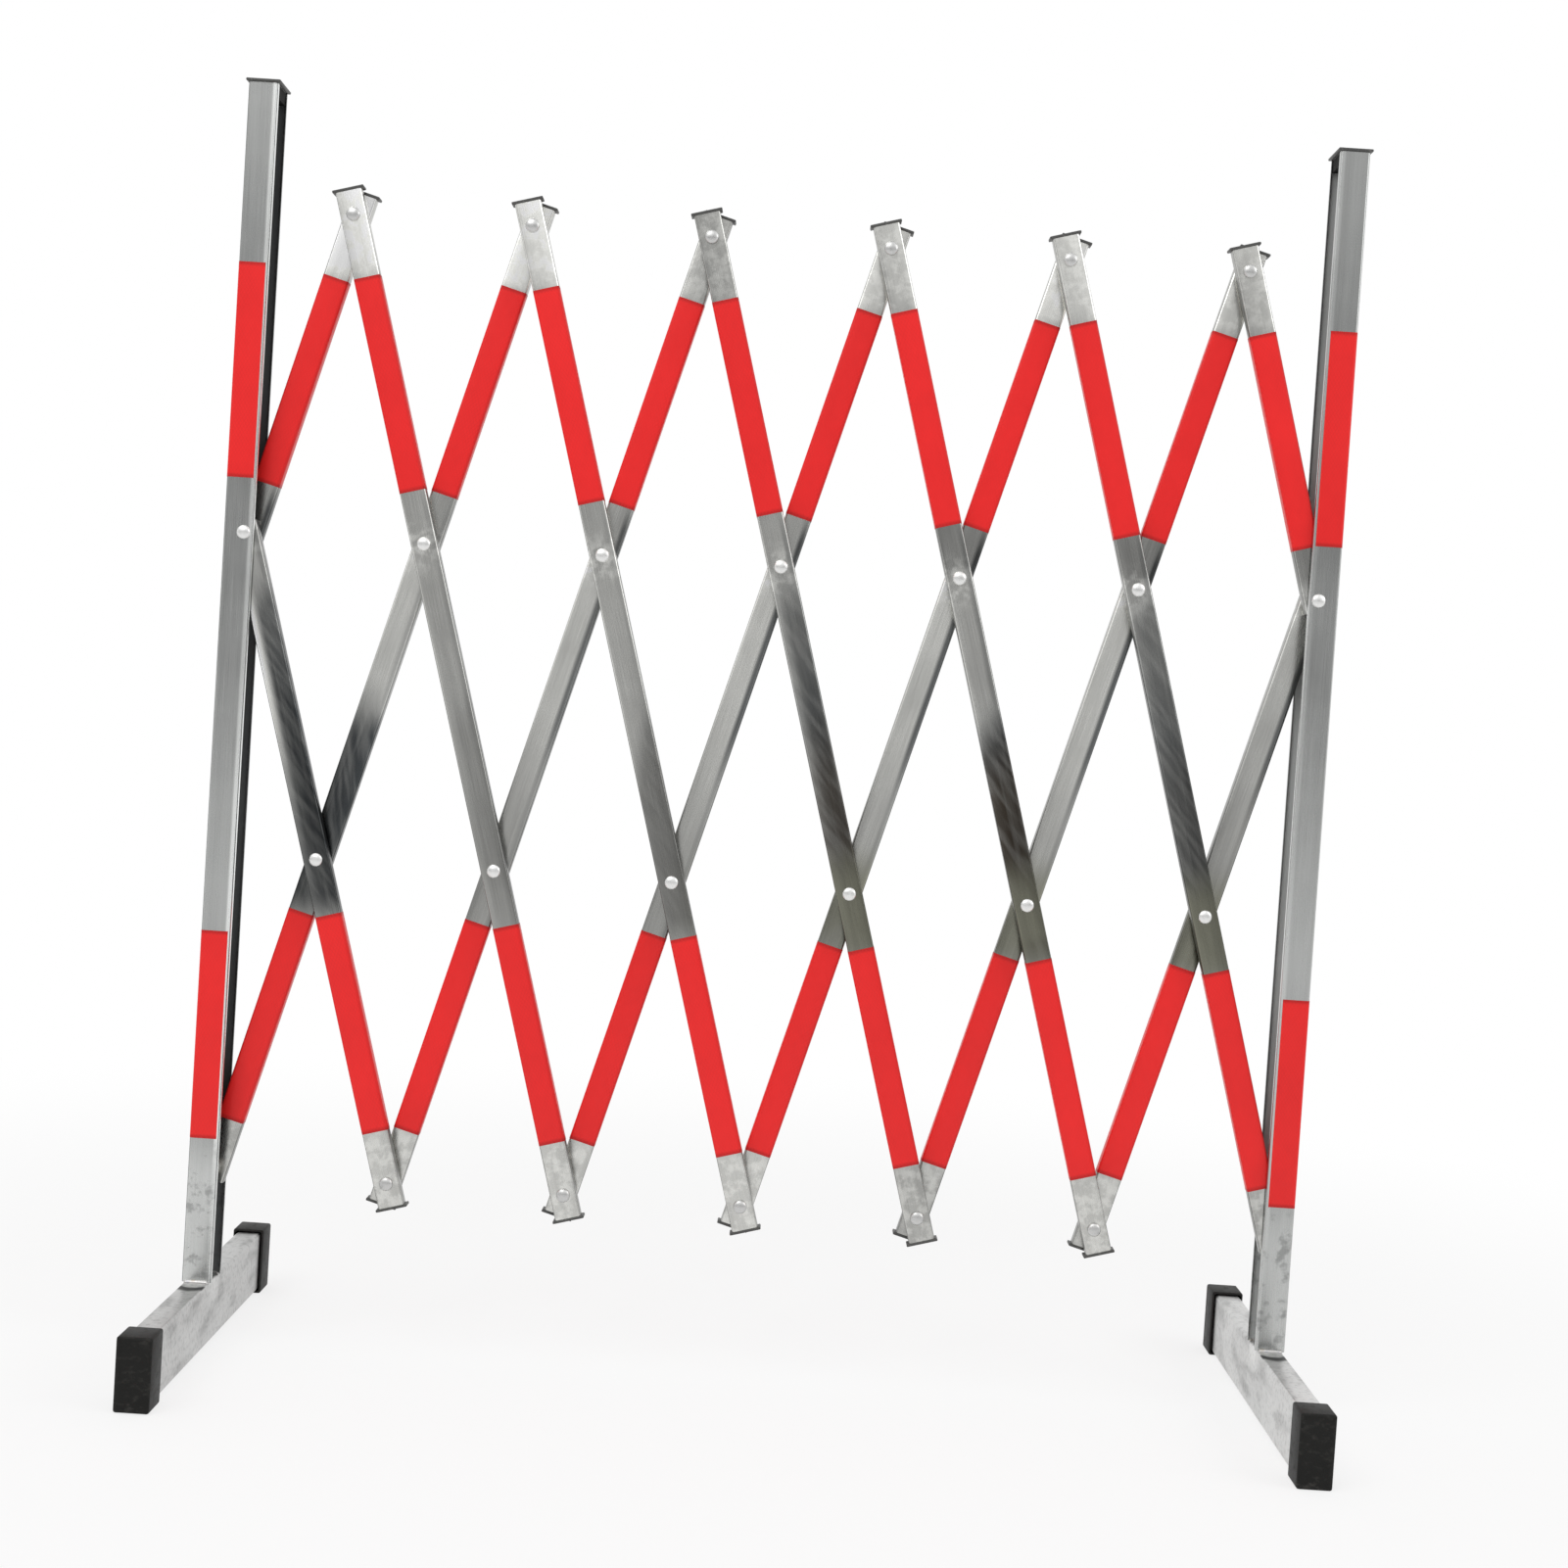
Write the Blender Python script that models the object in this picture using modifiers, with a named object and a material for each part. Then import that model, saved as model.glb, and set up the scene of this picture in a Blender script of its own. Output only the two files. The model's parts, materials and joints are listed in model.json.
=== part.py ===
"""Expandable safety barrier: two posts on feet, joined by a scissor lattice of flat tubes.

Metres, +Z up, origin on the floor midway between the posts. X runs along the barrier, and
the front, with the rivets' domed heads, faces -Y. The lattice has two layers of arms: front
arms lean to the left going up, rear arms lean to the right. They cross at four rows of
pivots, called top, upper, lower and bottom from above. The upper row's two end pivots are
bolted through the posts, and the bottom row's two end pivots slide in the posts' channels.
"""

import math

import bmesh
import bpy
from mathutils import Vector

# Whole barrier
HEIGHT = 1.200
SEGMENT_LENGTH = 0.316
REST_ANGLE = math.radians(15.5)
FOLDED_ANGLE = math.radians(5.0)
PITCHES = 6
BOTTOM_ROW_CLEARANCE = 0.084

# Lattice arms: flat tube with plugged free ends
ARM_WIDTH = 0.025
ARM_THICKNESS = 0.0125
ARM_WALL = 0.0008
ARM_CORNER = 0.002
LAYER_GAP = 0.003
FREE_END = 0.025
POST_END = 0.010
END_CAP_THICKNESS = 0.0025
END_CAP_OVERHANG = 0.0025
END_CAP_CHAMFER = 0.0006

# Reflective tape: where its bands begin and end
TAPE_THICKNESS = 0.00025
TOP_BAND_SHARES = (0.19, 0.84)
BOTTOM_BAND_SHARES = (0.17, 0.84)
POST_BAND_SHARES = ((0.168, 0.333), (0.690, 0.858))

# Rivets, pivot bolts and nuts
PIN_RADIUS = 0.003
HEAD_RADIUS = 0.0065
HEAD_HEIGHT = 0.0034
TAIL_RADIUS = 0.0055
TAIL_HEIGHT = 0.0018
COLLAR_RADIUS = 0.007
SPACER_RADIUS = 0.006
NUT_ACROSS_FLATS = 0.010
NUT_THICKNESS = 0.005
NUT_SIDES = 6
BOLT_POINT = 0.002

# Posts: lipped channels, open towards the lattice
POST_WALL = 0.0012
POST_LIP = 0.0045
POST_CORNER = 0.0025
PIVOT_INSET = 0.009
SLOT_CLEARANCE = 0.0015
SWEEP_CLEARANCE = 0.0018
POST_CAP_THICKNESS = 0.0025
POST_CAP_OVERHANG = 0.0022
POST_CAP_PLUG = 0.012
POST_CAP_CHAMFER = 0.0008

# Feet: box tube on edge, with a slip-on shoe at each end
FOOT_LENGTH = 0.440
BEAM_WIDTH = 0.025
BEAM_HEIGHT = 0.060
BEAM_WALL = 0.0012
BEAM_CORNER = 0.003
SHOE_WALL = 0.003
SHOE_END = 0.004
SHOE_GRIP = 0.031
SHOE_BEVEL = 0.0022

# Sliding ends of the bottom row
SLIDER_SHOULDER_RADIUS = 0.005

# Fits and facets
GAP = 0.0003
HOLE_CLEARANCE = 0.0003
OVERRUN = 0.002
CORNER_STEPS = 2
HOLE_SIDES = 8
TURNED_SIDES = 8
BUSH_SIDES = 16
DOME_STEPS = 3
WELD_DISTANCE = 0.00001
SMOOTH_ANGLE = math.radians(35)

# Worked out from the sizes above
RISE = SEGMENT_LENGTH * math.cos(REST_ANGLE)
PITCH = 2 * SEGMENT_LENGTH * math.sin(REST_ANGLE)
LAYER_INNER = LAYER_GAP / 2
LAYER_OUTER = LAYER_INNER + ARM_THICKNESS
LAYER_MIDDLE = LAYER_INNER + ARM_THICKNESS / 2
END_CAP_HALF_DEPTH = ARM_THICKNESS / 2 + LAYER_INNER - GAP

SLOT_HALF = LAYER_OUTER + SLOT_CLEARANCE
POST_HALF_DEPTH = SLOT_HALF + POST_LIP
POST_SWEEP = math.hypot(POST_END, ARM_WIDTH / 2) + SWEEP_CLEARANCE
POST_WIDTH = PIVOT_INSET + POST_SWEEP + POST_WALL
POST_MIDDLE = PIVOT_INSET - POST_WIDTH / 2
POST_INNER_HALF = POST_HALF_DEPTH - POST_WALL

BEAM_BOTTOM = SHOE_WALL + GAP
BEAM_TOP = BEAM_BOTTOM + BEAM_HEIGHT
BEAM_LENGTH = FOOT_LENGTH - 2 * (SHOE_END + GAP)
SHOE_LENGTH = SHOE_END + GAP + SHOE_GRIP
POST_BOTTOM = BEAM_TOP + GAP
POST_TOP = HEIGHT - POST_CAP_THICKNESS - GAP

UPPER_ROW_HEIGHT = BEAM_TOP + BOTTOM_ROW_CLEARANCE + 2 * SEGMENT_LENGTH * math.cos(FOLDED_ANGLE)

ROWS = ("top", "upper", "lower", "bottom")
HALF_PITCH_ROWS = ("top", "lower")

STEEL, TAPE, PLASTIC = range(3)


def clear_scene():
    for existing in list(bpy.data.objects):
        bpy.data.objects.remove(existing)


def new_collection(name):
    collection = bpy.data.collections.new(name)
    bpy.context.scene.collection.children.link(collection)
    return collection


def new_material(name, colour, roughness, metallic):
    material = bpy.data.materials.new(name)
    material.use_nodes = True
    shader = material.node_tree.nodes["Principled BSDF"]
    shader.inputs["Base Color"].default_value = (*colour, 1)
    shader.inputs["Roughness"].default_value = roughness
    shader.inputs["Metallic"].default_value = metallic
    material.diffuse_color = (*colour, 1)
    return material


def rounded_rectangle(width, depth, radius):
    """Closed outline, centred on the origin, running anticlockwise."""
    outline = []
    for quarter, (side_x, side_y) in enumerate(((1, 1), (-1, 1), (-1, -1), (1, -1))):
        centre_x = side_x * (width / 2 - radius)
        centre_y = side_y * (depth / 2 - radius)
        for step in range(CORNER_STEPS + 1):
            angle = (quarter + step / CORNER_STEPS) * math.pi / 2
            outline.append((centre_x + radius * math.cos(angle), centre_y + radius * math.sin(angle)))
    return outline


def polygon(radius, sides):
    """Closed regular outline with its corners on the radius."""
    turns = (2 * math.pi * side / sides for side in range(sides))
    return [(radius * math.cos(turn), radius * math.sin(turn)) for turn in turns]


def around(radius, sides):
    """Corner radius of a regular outline whose flats lie on the given radius."""
    return radius / math.cos(math.pi / sides)


def rounded_path(corners, radius):
    """Open path through square corners, each turned on an arc of the given radius."""
    points = [Vector(corner) for corner in corners]
    path = [points[0]]
    for before, corner, after in zip(points, points[1:], points[2:]):
        arriving = (before - corner).normalized()
        leaving = (after - corner).normalized()
        centre = corner + radius * (arriving + leaving)
        for step in range(CORNER_STEPS + 1):
            angle = step / CORNER_STEPS * math.pi / 2
            path.append(centre - radius * (math.cos(angle) * leaving + math.sin(angle) * arriving))
    path.append(points[-1])
    return path


def section_object(name, outlines, low, high):
    """Straight bar along Z between two heights; inner outlines become hollows."""
    curve = bpy.data.curves.new(name, "CURVE")
    curve.dimensions = "2D"
    curve.fill_mode = "BOTH"
    curve.extrude = (high - low) / 2
    for outline in outlines:
        spline = curve.splines.new("POLY")
        spline.points.add(len(outline) - 1)
        for point, (x, y) in zip(spline.points, outline):
            point.co = (x, y, 0, 1)
        spline.use_cyclic_u = True
    bar = bpy.data.objects.new(name, curve)
    bar.location.z = (low + high) / 2
    cutters.objects.link(bar)
    return close_surface(mesh_object(bar))


def mesh_object(source):
    """Replace an object by a plain mesh object at the origin, its modifiers applied."""
    bpy.context.view_layer.update()
    evaluated = source.evaluated_get(bpy.context.evaluated_depsgraph_get())
    mesh = bpy.data.meshes.new_from_object(evaluated)
    mesh.transform(source.matrix_world)
    mesh.name = source.name
    name = source.name
    bpy.data.objects.remove(source)
    plain = bpy.data.objects.new(name, mesh)
    cutters.objects.link(plain)
    return plain


def close_surface(shape):
    """Weld a curve's or a turned shape's loose seams and point its faces outwards."""
    working = bmesh.new()
    working.from_mesh(shape.data)
    bmesh.ops.remove_doubles(working, verts=working.verts, dist=WELD_DISTANCE)
    bmesh.ops.recalc_face_normals(working, faces=working.faces)
    working.to_mesh(shape.data)
    working.free()
    return shape


def block(name, size, centre, bevel=0.0):
    """Box with its edges optionally chamfered."""
    mesh = bpy.data.meshes.new(name)
    working = bmesh.new()
    bmesh.ops.create_cube(working, size=1)
    bmesh.ops.scale(working, vec=size, verts=working.verts)
    bmesh.ops.translate(working, vec=centre, verts=working.verts)
    working.to_mesh(mesh)
    working.free()
    box = bpy.data.objects.new(name, mesh)
    cutters.objects.link(box)
    if bevel:
        edges = box.modifiers.new("edges", "BEVEL")
        edges.width = bevel
        edges.segments = 1
        box = mesh_object(box)
    return box


def cross_pin(name, radius, half_length, height, sides):
    """Cylinder along Y at a height, for cutting a pivot hole."""
    mesh = bpy.data.meshes.new(name)
    working = bmesh.new()
    bmesh.ops.create_cone(
        working, cap_ends=True, segments=sides, radius1=radius, radius2=radius, depth=2 * half_length
    )
    working.to_mesh(mesh)
    working.free()
    pin = bpy.data.objects.new(name, mesh)
    pin.rotation_euler.x = math.pi / 2
    pin.location.z = height
    cutters.objects.link(pin)
    return mesh_object(pin)


def set_material(target, index):
    for material in palette:
        target.data.materials.append(material)
    for face in target.data.polygons:
        face.material_index = index
    return target


def combine(base, operation, tool):
    """Apply one Boolean to the base and drop the tool."""
    step = base.modifiers.new(operation.lower(), "BOOLEAN")
    step.operation = operation
    step.solver = "EXACT"
    step.object = tool
    result = mesh_object(base)
    bpy.data.objects.remove(tool)
    return result


def turned(name, profile, sides):
    """Solid of revolution about Y; the profile lists (radius, y) from front to rear."""
    mesh = bpy.data.meshes.new(name)
    working = bmesh.new()
    corners = [working.verts.new((radius, 0, -y)) for radius, y in profile]
    for upper, lower in zip(corners, corners[1:]):
        working.edges.new((upper, lower))
    working.to_mesh(mesh)
    working.free()
    solid = bpy.data.objects.new(name, mesh)
    solid.rotation_euler.x = math.pi / 2
    cutters.objects.link(solid)
    spin = solid.modifiers.new("turn", "SCREW")
    spin.axis = "Z"
    spin.steps = sides
    spin.render_steps = sides
    spin.use_merge_vertices = True
    spin.merge_threshold = WELD_DISTANCE
    return close_surface(mesh_object(solid))


def dome_profile(seat):
    """Domed head standing forward of the seat, from its crown to its rim."""
    points = []
    for step in range(DOME_STEPS):
        angle = step / DOME_STEPS * math.pi / 2
        points.append((HEAD_RADIUS * math.sin(angle), seat - HEAD_HEIGHT * math.cos(angle)))
    points.append((HEAD_RADIUS, seat))
    return points


def collar_profile(front, rear, radius):
    return [(PIN_RADIUS, front), (radius, front), (radius, rear), (PIN_RADIUS, rear)]


def rivet():
    """Domed rivet through both layers, with the collar that keeps them apart."""
    head_seat = -LAYER_OUTER - GAP
    tail_seat = LAYER_OUTER + GAP
    collar = LAYER_INNER - GAP
    profile = dome_profile(head_seat)
    profile.append((PIN_RADIUS, head_seat))
    profile += collar_profile(-collar, collar, COLLAR_RADIUS)
    profile.append((PIN_RADIUS, tail_seat))
    profile.append((TAIL_RADIUS, tail_seat))
    profile.append((TAIL_RADIUS, tail_seat + TAIL_HEIGHT))
    profile.append((0, tail_seat + TAIL_HEIGHT))
    return set_material(turned("rivet", profile, TURNED_SIDES), STEEL)


def post_bolt():
    """Domed bolt through a post, with spacers that centre the two arms in its channel."""
    head_seat = -POST_HALF_DEPTH - GAP
    spacer_outer = POST_INNER_HALF - GAP
    spacer_inner = LAYER_OUTER + GAP
    collar = LAYER_INNER - GAP
    point = POST_HALF_DEPTH + GAP + NUT_THICKNESS + BOLT_POINT
    profile = dome_profile(head_seat)
    profile.append((PIN_RADIUS, head_seat))
    profile += collar_profile(-spacer_outer, -spacer_inner, SPACER_RADIUS)
    profile += collar_profile(-collar, collar, COLLAR_RADIUS)
    profile += collar_profile(spacer_inner, spacer_outer, SPACER_RADIUS)
    profile.append((PIN_RADIUS, point))
    profile.append((0, point))
    return set_material(turned("post_bolt", profile, TURNED_SIDES), STEEL)


def nut():
    """Hexagon nut lying against the post's rear wall, its axis along Y."""
    hexagon = polygon(around(NUT_ACROSS_FLATS / 2, NUT_SIDES), NUT_SIDES)
    bore = polygon(around(PIN_RADIUS + HOLE_CLEARANCE, TURNED_SIDES), TURNED_SIDES)
    ring = section_object("nut", [hexagon, bore], 0, NUT_THICKNESS)
    ring.rotation_euler.x = -math.pi / 2
    ring.location.y = POST_HALF_DEPTH + GAP
    return set_material(mesh_object(ring), STEEL)


def slider_pin():
    """Pin of a sliding end, for an arm in the rear layer; its shoulder fills the front layer."""
    end = POST_INNER_HALF - GAP
    profile = [(0, -end), (PIN_RADIUS, -end)]
    profile += collar_profile(-LAYER_OUTER, LAYER_INNER - GAP, SLIDER_SHOULDER_RADIUS)
    profile += [(PIN_RADIUS, end), (0, end)]
    return set_material(turned("slider_pin", profile, TURNED_SIDES), STEEL)


def slider_bush():
    """Plastic ring on the slider pin that runs behind the channel's lip, on the rear side."""
    radius = PIVOT_INSET - POST_WALL - GAP
    ring = polygon(radius, BUSH_SIDES)
    bore = polygon(around(PIN_RADIUS + HOLE_CLEARANCE, TURNED_SIDES), TURNED_SIDES)
    front = LAYER_OUTER + GAP
    rear = POST_HALF_DEPTH - POST_CORNER
    bush = section_object("slider_bush", [ring, bore], 0, rear - front)
    bush.rotation_euler.x = -math.pi / 2
    bush.location.y = front
    return set_material(mesh_object(bush), PLASTIC)


def tape_sleeve(low, high):
    """Band of tape round an arm, sunk halfway into the tube's wall."""
    outer = rounded_rectangle(
        ARM_WIDTH + 2 * TAPE_THICKNESS, ARM_THICKNESS + 2 * TAPE_THICKNESS, ARM_CORNER + TAPE_THICKNESS
    )
    inner = rounded_rectangle(ARM_WIDTH - ARM_WALL, ARM_THICKNESS - ARM_WALL, ARM_CORNER - ARM_WALL / 2)
    return set_material(section_object("tape", [outer, inner], low, high), TAPE)


def end_cap(end, outward):
    """Flanged plug in a free end: outward is 1 at the arm's upper end and -1 at its lower end."""
    flange_centre = end - outward * END_CAP_THICKNESS / 2
    flange = block(
        "end_cap",
        (ARM_WIDTH + 2 * END_CAP_OVERHANG, 2 * END_CAP_HALF_DEPTH, END_CAP_THICKNESS),
        (0, 0, flange_centre),
        END_CAP_CHAMFER,
    )
    return set_material(flange, PLASTIC)


def build_arm(name, rows, origin, free_top=True, free_bottom=True):
    """Flat tube with a pivot hole in each of the given rows, its origin at one row's pivot."""
    heights = {row: (ROWS.index(origin) - ROWS.index(row)) * SEGMENT_LENGTH for row in rows}
    top = heights[rows[0]] + (FREE_END if free_top else POST_END)
    bottom = heights[rows[-1]] - (FREE_END if free_bottom else POST_END)
    tube_top = top - END_CAP_THICKNESS / 2 if free_top else top
    tube_bottom = bottom + END_CAP_THICKNESS / 2 if free_bottom else bottom
    outer = rounded_rectangle(ARM_WIDTH, ARM_THICKNESS, ARM_CORNER)
    inner = rounded_rectangle(
        ARM_WIDTH - 2 * ARM_WALL, ARM_THICKNESS - 2 * ARM_WALL, ARM_CORNER - ARM_WALL
    )
    tube = set_material(section_object(name, [outer, inner], tube_bottom, tube_top), STEEL)
    hole_radius = around(PIN_RADIUS + HOLE_CLEARANCE, HOLE_SIDES)
    for height in heights.values():
        drill = cross_pin("drill", hole_radius, ARM_THICKNESS / 2 + OVERRUN, height, HOLE_SIDES)
        tube = combine(tube, "DIFFERENCE", set_material(drill, STEEL))
    if "top" in rows:
        high, low = (heights["top"] - share * SEGMENT_LENGTH for share in TOP_BAND_SHARES)
        tube = combine(tube, "UNION", tape_sleeve(low, high))
    if "bottom" in rows:
        high, low = (heights["bottom"] + (1 - share) * SEGMENT_LENGTH for share in BOTTOM_BAND_SHARES)
        tube = combine(tube, "UNION", tape_sleeve(low, high))
    if free_top:
        tube = combine(tube, "UNION", end_cap(top, 1))
    if free_bottom:
        tube = combine(tube, "UNION", end_cap(bottom, -1))
    return tube


def channel_outline(outward, inward, lip_end):
    """Outline of a skin on the post's faces, from offset outward to offset inward.

    The post's open face lies at PIVOT_INSET from the pivot. With a lip_end the skin turns round
    the open face's corners and ends there; without one it ends on the front and rear faces.
    """
    paths = []
    for offset in (outward, -inward):
        open_x = PIVOT_INSET + offset
        back_x = PIVOT_INSET - POST_WIDTH - offset
        half = POST_HALF_DEPTH + offset
        if lip_end:
            corners = [(open_x, lip_end), (open_x, half), (back_x, half)]
            corners += [(back_x, -half), (open_x, -half), (open_x, -lip_end)]
        else:
            edge_x = PIVOT_INSET - POST_CORNER
            corners = [(edge_x, half), (back_x, half), (back_x, -half), (edge_x, -half)]
        paths.append(rounded_path(corners, POST_CORNER + offset))
    return paths[0] + paths[1][::-1]


def post():
    """Lipped channel with two bands of tape and the pivot bolt's holes, about the pivot axis."""
    wall = channel_outline(0, POST_WALL, SLOT_HALF)
    channel = set_material(section_object("post", [wall], POST_BOTTOM, POST_TOP), STEEL)
    skin = channel_outline(TAPE_THICKNESS, POST_WALL / 2, 0)
    for low_share, high_share in POST_BAND_SHARES:
        band = section_object("tape", [skin], low_share * HEIGHT, high_share * HEIGHT)
        channel = combine(channel, "UNION", set_material(band, TAPE))
    radius = around(PIN_RADIUS + HOLE_CLEARANCE, HOLE_SIDES)
    drill = cross_pin("drill", radius, POST_HALF_DEPTH + OVERRUN, UPPER_ROW_HEIGHT, HOLE_SIDES)
    return combine(channel, "DIFFERENCE", set_material(drill, STEEL))


def post_cap():
    """Flat cover on the post's top with a plug inside the channel."""
    plate = block(
        "post_cap",
        (
            POST_WIDTH + 2 * POST_CAP_OVERHANG,
            2 * (POST_HALF_DEPTH + POST_CAP_OVERHANG),
            POST_CAP_THICKNESS,
        ),
        (POST_MIDDLE, 0, HEIGHT - POST_CAP_THICKNESS / 2),
        POST_CAP_CHAMFER,
    )
    plug_outline = rounded_rectangle(
        POST_WIDTH - 2 * (POST_WALL + GAP),
        2 * (POST_INNER_HALF - GAP),
        POST_CORNER - POST_WALL - GAP,
    )
    plug_bottom = HEIGHT - POST_CAP_THICKNESS - POST_CAP_PLUG
    plug = section_object("plug", [plug_outline], plug_bottom, HEIGHT - POST_CAP_THICKNESS / 2)
    plug.location.x = POST_MIDDLE
    plug = mesh_object(plug)
    return combine(set_material(plate, PLASTIC), "UNION", set_material(plug, PLASTIC))


def foot_beam():
    """Box tube lying along Y under the post."""
    outer = rounded_rectangle(BEAM_WIDTH, BEAM_HEIGHT, BEAM_CORNER)
    inner = rounded_rectangle(
        BEAM_WIDTH - 2 * BEAM_WALL, BEAM_HEIGHT - 2 * BEAM_WALL, BEAM_CORNER - BEAM_WALL
    )
    beam = section_object("foot_beam", [outer, inner], -BEAM_LENGTH / 2, BEAM_LENGTH / 2)
    beam.rotation_euler.x = math.pi / 2
    beam.location = (POST_MIDDLE, 0, BEAM_BOTTOM + BEAM_HEIGHT / 2)
    return set_material(mesh_object(beam), STEEL)


def shoe():
    """Slip-on end of a foot, at the beam's front end."""
    size = (BEAM_WIDTH + 2 * (GAP + SHOE_WALL), SHOE_LENGTH, BEAM_HEIGHT + 2 * (GAP + SHOE_WALL))
    front = -FOOT_LENGTH / 2
    body = block("shoe", size, (POST_MIDDLE, front + SHOE_LENGTH / 2, size[2] / 2), SHOE_BEVEL)
    pocket_length = GAP + SHOE_GRIP + OVERRUN
    pocket_middle = front + SHOE_END + pocket_length / 2
    pocket = block(
        "pocket",
        (BEAM_WIDTH + 2 * GAP, pocket_length, BEAM_HEIGHT + 2 * GAP),
        (POST_MIDDLE, pocket_middle, size[2] / 2),
    )
    return combine(set_material(body, PLASTIC), "DIFFERENCE", set_material(pocket, PLASTIC))


def finish(source):
    """Shade a finished shape and hand over its mesh."""
    mesh = source.data
    mesh.shade_smooth()
    mesh.set_sharp_from_angle(angle=SMOOTH_ANGLE)
    bpy.data.objects.remove(source)
    return mesh


def add_piece(name, mesh, location=(0, 0, 0), lean=0.0, turn=0.0):
    """Place a piece: lean turns it about Y, turn about Z."""
    piece = bpy.data.objects.new(name, mesh)
    piece.location = location
    piece.rotation_euler = (0, lean, turn)
    parts.objects.link(piece)
    return piece


def pivot(row, number):
    """Place of a pivot on the lattice's middle plane; rows count from the left post."""
    shift = 0.5 if row in HALF_PITCH_ROWS else 0
    height = UPPER_ROW_HEIGHT + (ROWS.index("upper") - ROWS.index(row)) * RISE
    return ((number - shift - PITCHES / 2) * PITCH, 0, height)


def add_arm(layer, number, mesh, row, pivot_number):
    """Front arms lean left going up, rear arms lean right."""
    side = -1 if layer == "front" else 1
    x, _, z = pivot(row, pivot_number)
    add_piece(f"{layer}_arm_{number}", mesh, (x, side * LAYER_MIDDLE, z), lean=side * REST_ANGLE)


def add_lattice():
    whole_front = finish(build_arm("whole_front_arm", ROWS, "upper"))
    whole_rear = finish(build_arm("whole_rear_arm", ROWS, "lower"))
    sliding_front = finish(build_arm("sliding_front_arm", ROWS, "upper", free_bottom=False))
    sliding_rear = finish(build_arm("sliding_rear_arm", ROWS, "lower", free_bottom=False))
    long_front = finish(build_arm("long_front_arm", ROWS[1:], "upper", free_top=False))
    long_rear = finish(build_arm("long_rear_arm", ROWS[1:], "lower", free_top=False))
    short = finish(build_arm("short_arm", ROWS[:2], "upper", free_bottom=False))

    add_arm("front", 0, long_front, "upper", 0)
    for number in range(1, PITCHES - 1):
        add_arm("front", number, whole_front, "upper", number)
    add_arm("front", PITCHES - 1, sliding_front, "upper", PITCHES - 1)
    add_arm("front", PITCHES, short, "upper", PITCHES)

    add_arm("rear", 0, short, "upper", 0)
    add_arm("rear", 1, sliding_rear, "lower", 1)
    for number in range(2, PITCHES):
        add_arm("rear", number, whole_rear, "lower", number)
    add_arm("rear", PITCHES, long_rear, "lower", PITCHES)


def add_rivets():
    mesh = finish(rivet())
    for row in ROWS:
        last = PITCHES if row in HALF_PITCH_ROWS else PITCHES - 1
        for number in range(1, last + 1):
            add_piece(f"{row}_rivet_{number}", mesh, pivot(row, number))


def add_sliders():
    """The left slider rides on a rear arm and the right one on a front arm."""
    pin = finish(slider_pin())
    bush = finish(slider_bush())
    for side, number, turn in (("left", 0, 0), ("right", PITCHES, math.pi)):
        place = pivot("bottom", number)
        add_piece(f"{side}_slider_pin", pin, place, turn=turn)
        add_piece(f"{side}_slider_bush_rear", bush, place)
        add_piece(f"{side}_slider_bush_front", bush, place, turn=math.pi)


def add_stands():
    channel = finish(post())
    cover = finish(post_cap())
    beam = finish(foot_beam())
    foot_shoe = finish(shoe())
    bolt = finish(post_bolt())
    hexagon_nut = finish(nut())
    for side, number, turn in (("left", 0, 0), ("right", PITCHES, math.pi)):
        x, _, upper = pivot("upper", number)
        add_piece(f"{side}_post", channel, (x, 0, 0), turn=turn)
        add_piece(f"{side}_post_cap", cover, (x, 0, 0), turn=turn)
        add_piece(f"{side}_foot_beam", beam, (x, 0, 0), turn=turn)
        front_name, rear_name = ("front", "rear") if side == "left" else ("rear", "front")
        add_piece(f"{side}_foot_shoe_{front_name}", foot_shoe, (x, 0, 0), turn=turn)
        add_piece(f"{side}_post_bolt", bolt, (x, 0, upper))
        add_piece(f"{side}_post_nut", hexagon_nut, (x, 0, upper))
        mirrored = x + 2 * POST_MIDDLE * math.cos(turn)
        add_piece(f"{side}_foot_shoe_{rear_name}", foot_shoe, (mirrored, 0, 0), turn=turn + math.pi)


clear_scene()
parts = new_collection("expandable_safety_barrier")
cutters = new_collection("cutters")
palette = [
    new_material("stainless_steel", (0.62, 0.62, 0.60), 0.28, 1.0),
    new_material("red_reflective_tape", (0.80, 0.03, 0.025), 0.35, 0.0),
    new_material("black_plastic", (0.03, 0.03, 0.028), 0.60, 0.0),
]
add_stands()
add_lattice()
add_rivets()
add_sliders()
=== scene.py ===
"""Expandable safety barrier: the looks of its lattice, posts, feet and fastenings on a fixed frame.

Metres, +Z up, origin on the floor midway between the posts. X runs along the barrier and the
front, with the rivets' domed heads, faces -Y. An arm is modelled upright at the origin with its
upper row's pivot at z = 0, and is then leaned into its place. Front arms lean to the left going
up, rear arms to the right, and both arms of one number share an upper row pivot. What belongs to
a stand is modelled at the left post, with its pivots at x = 0, and turned round for the right one.
"""

import json
import math
from typing import NamedTuple

import bmesh
import bpy
from bpy.props import FloatProperty, FloatVectorProperty, PointerProperty
from mathutils import Matrix, Vector


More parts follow.
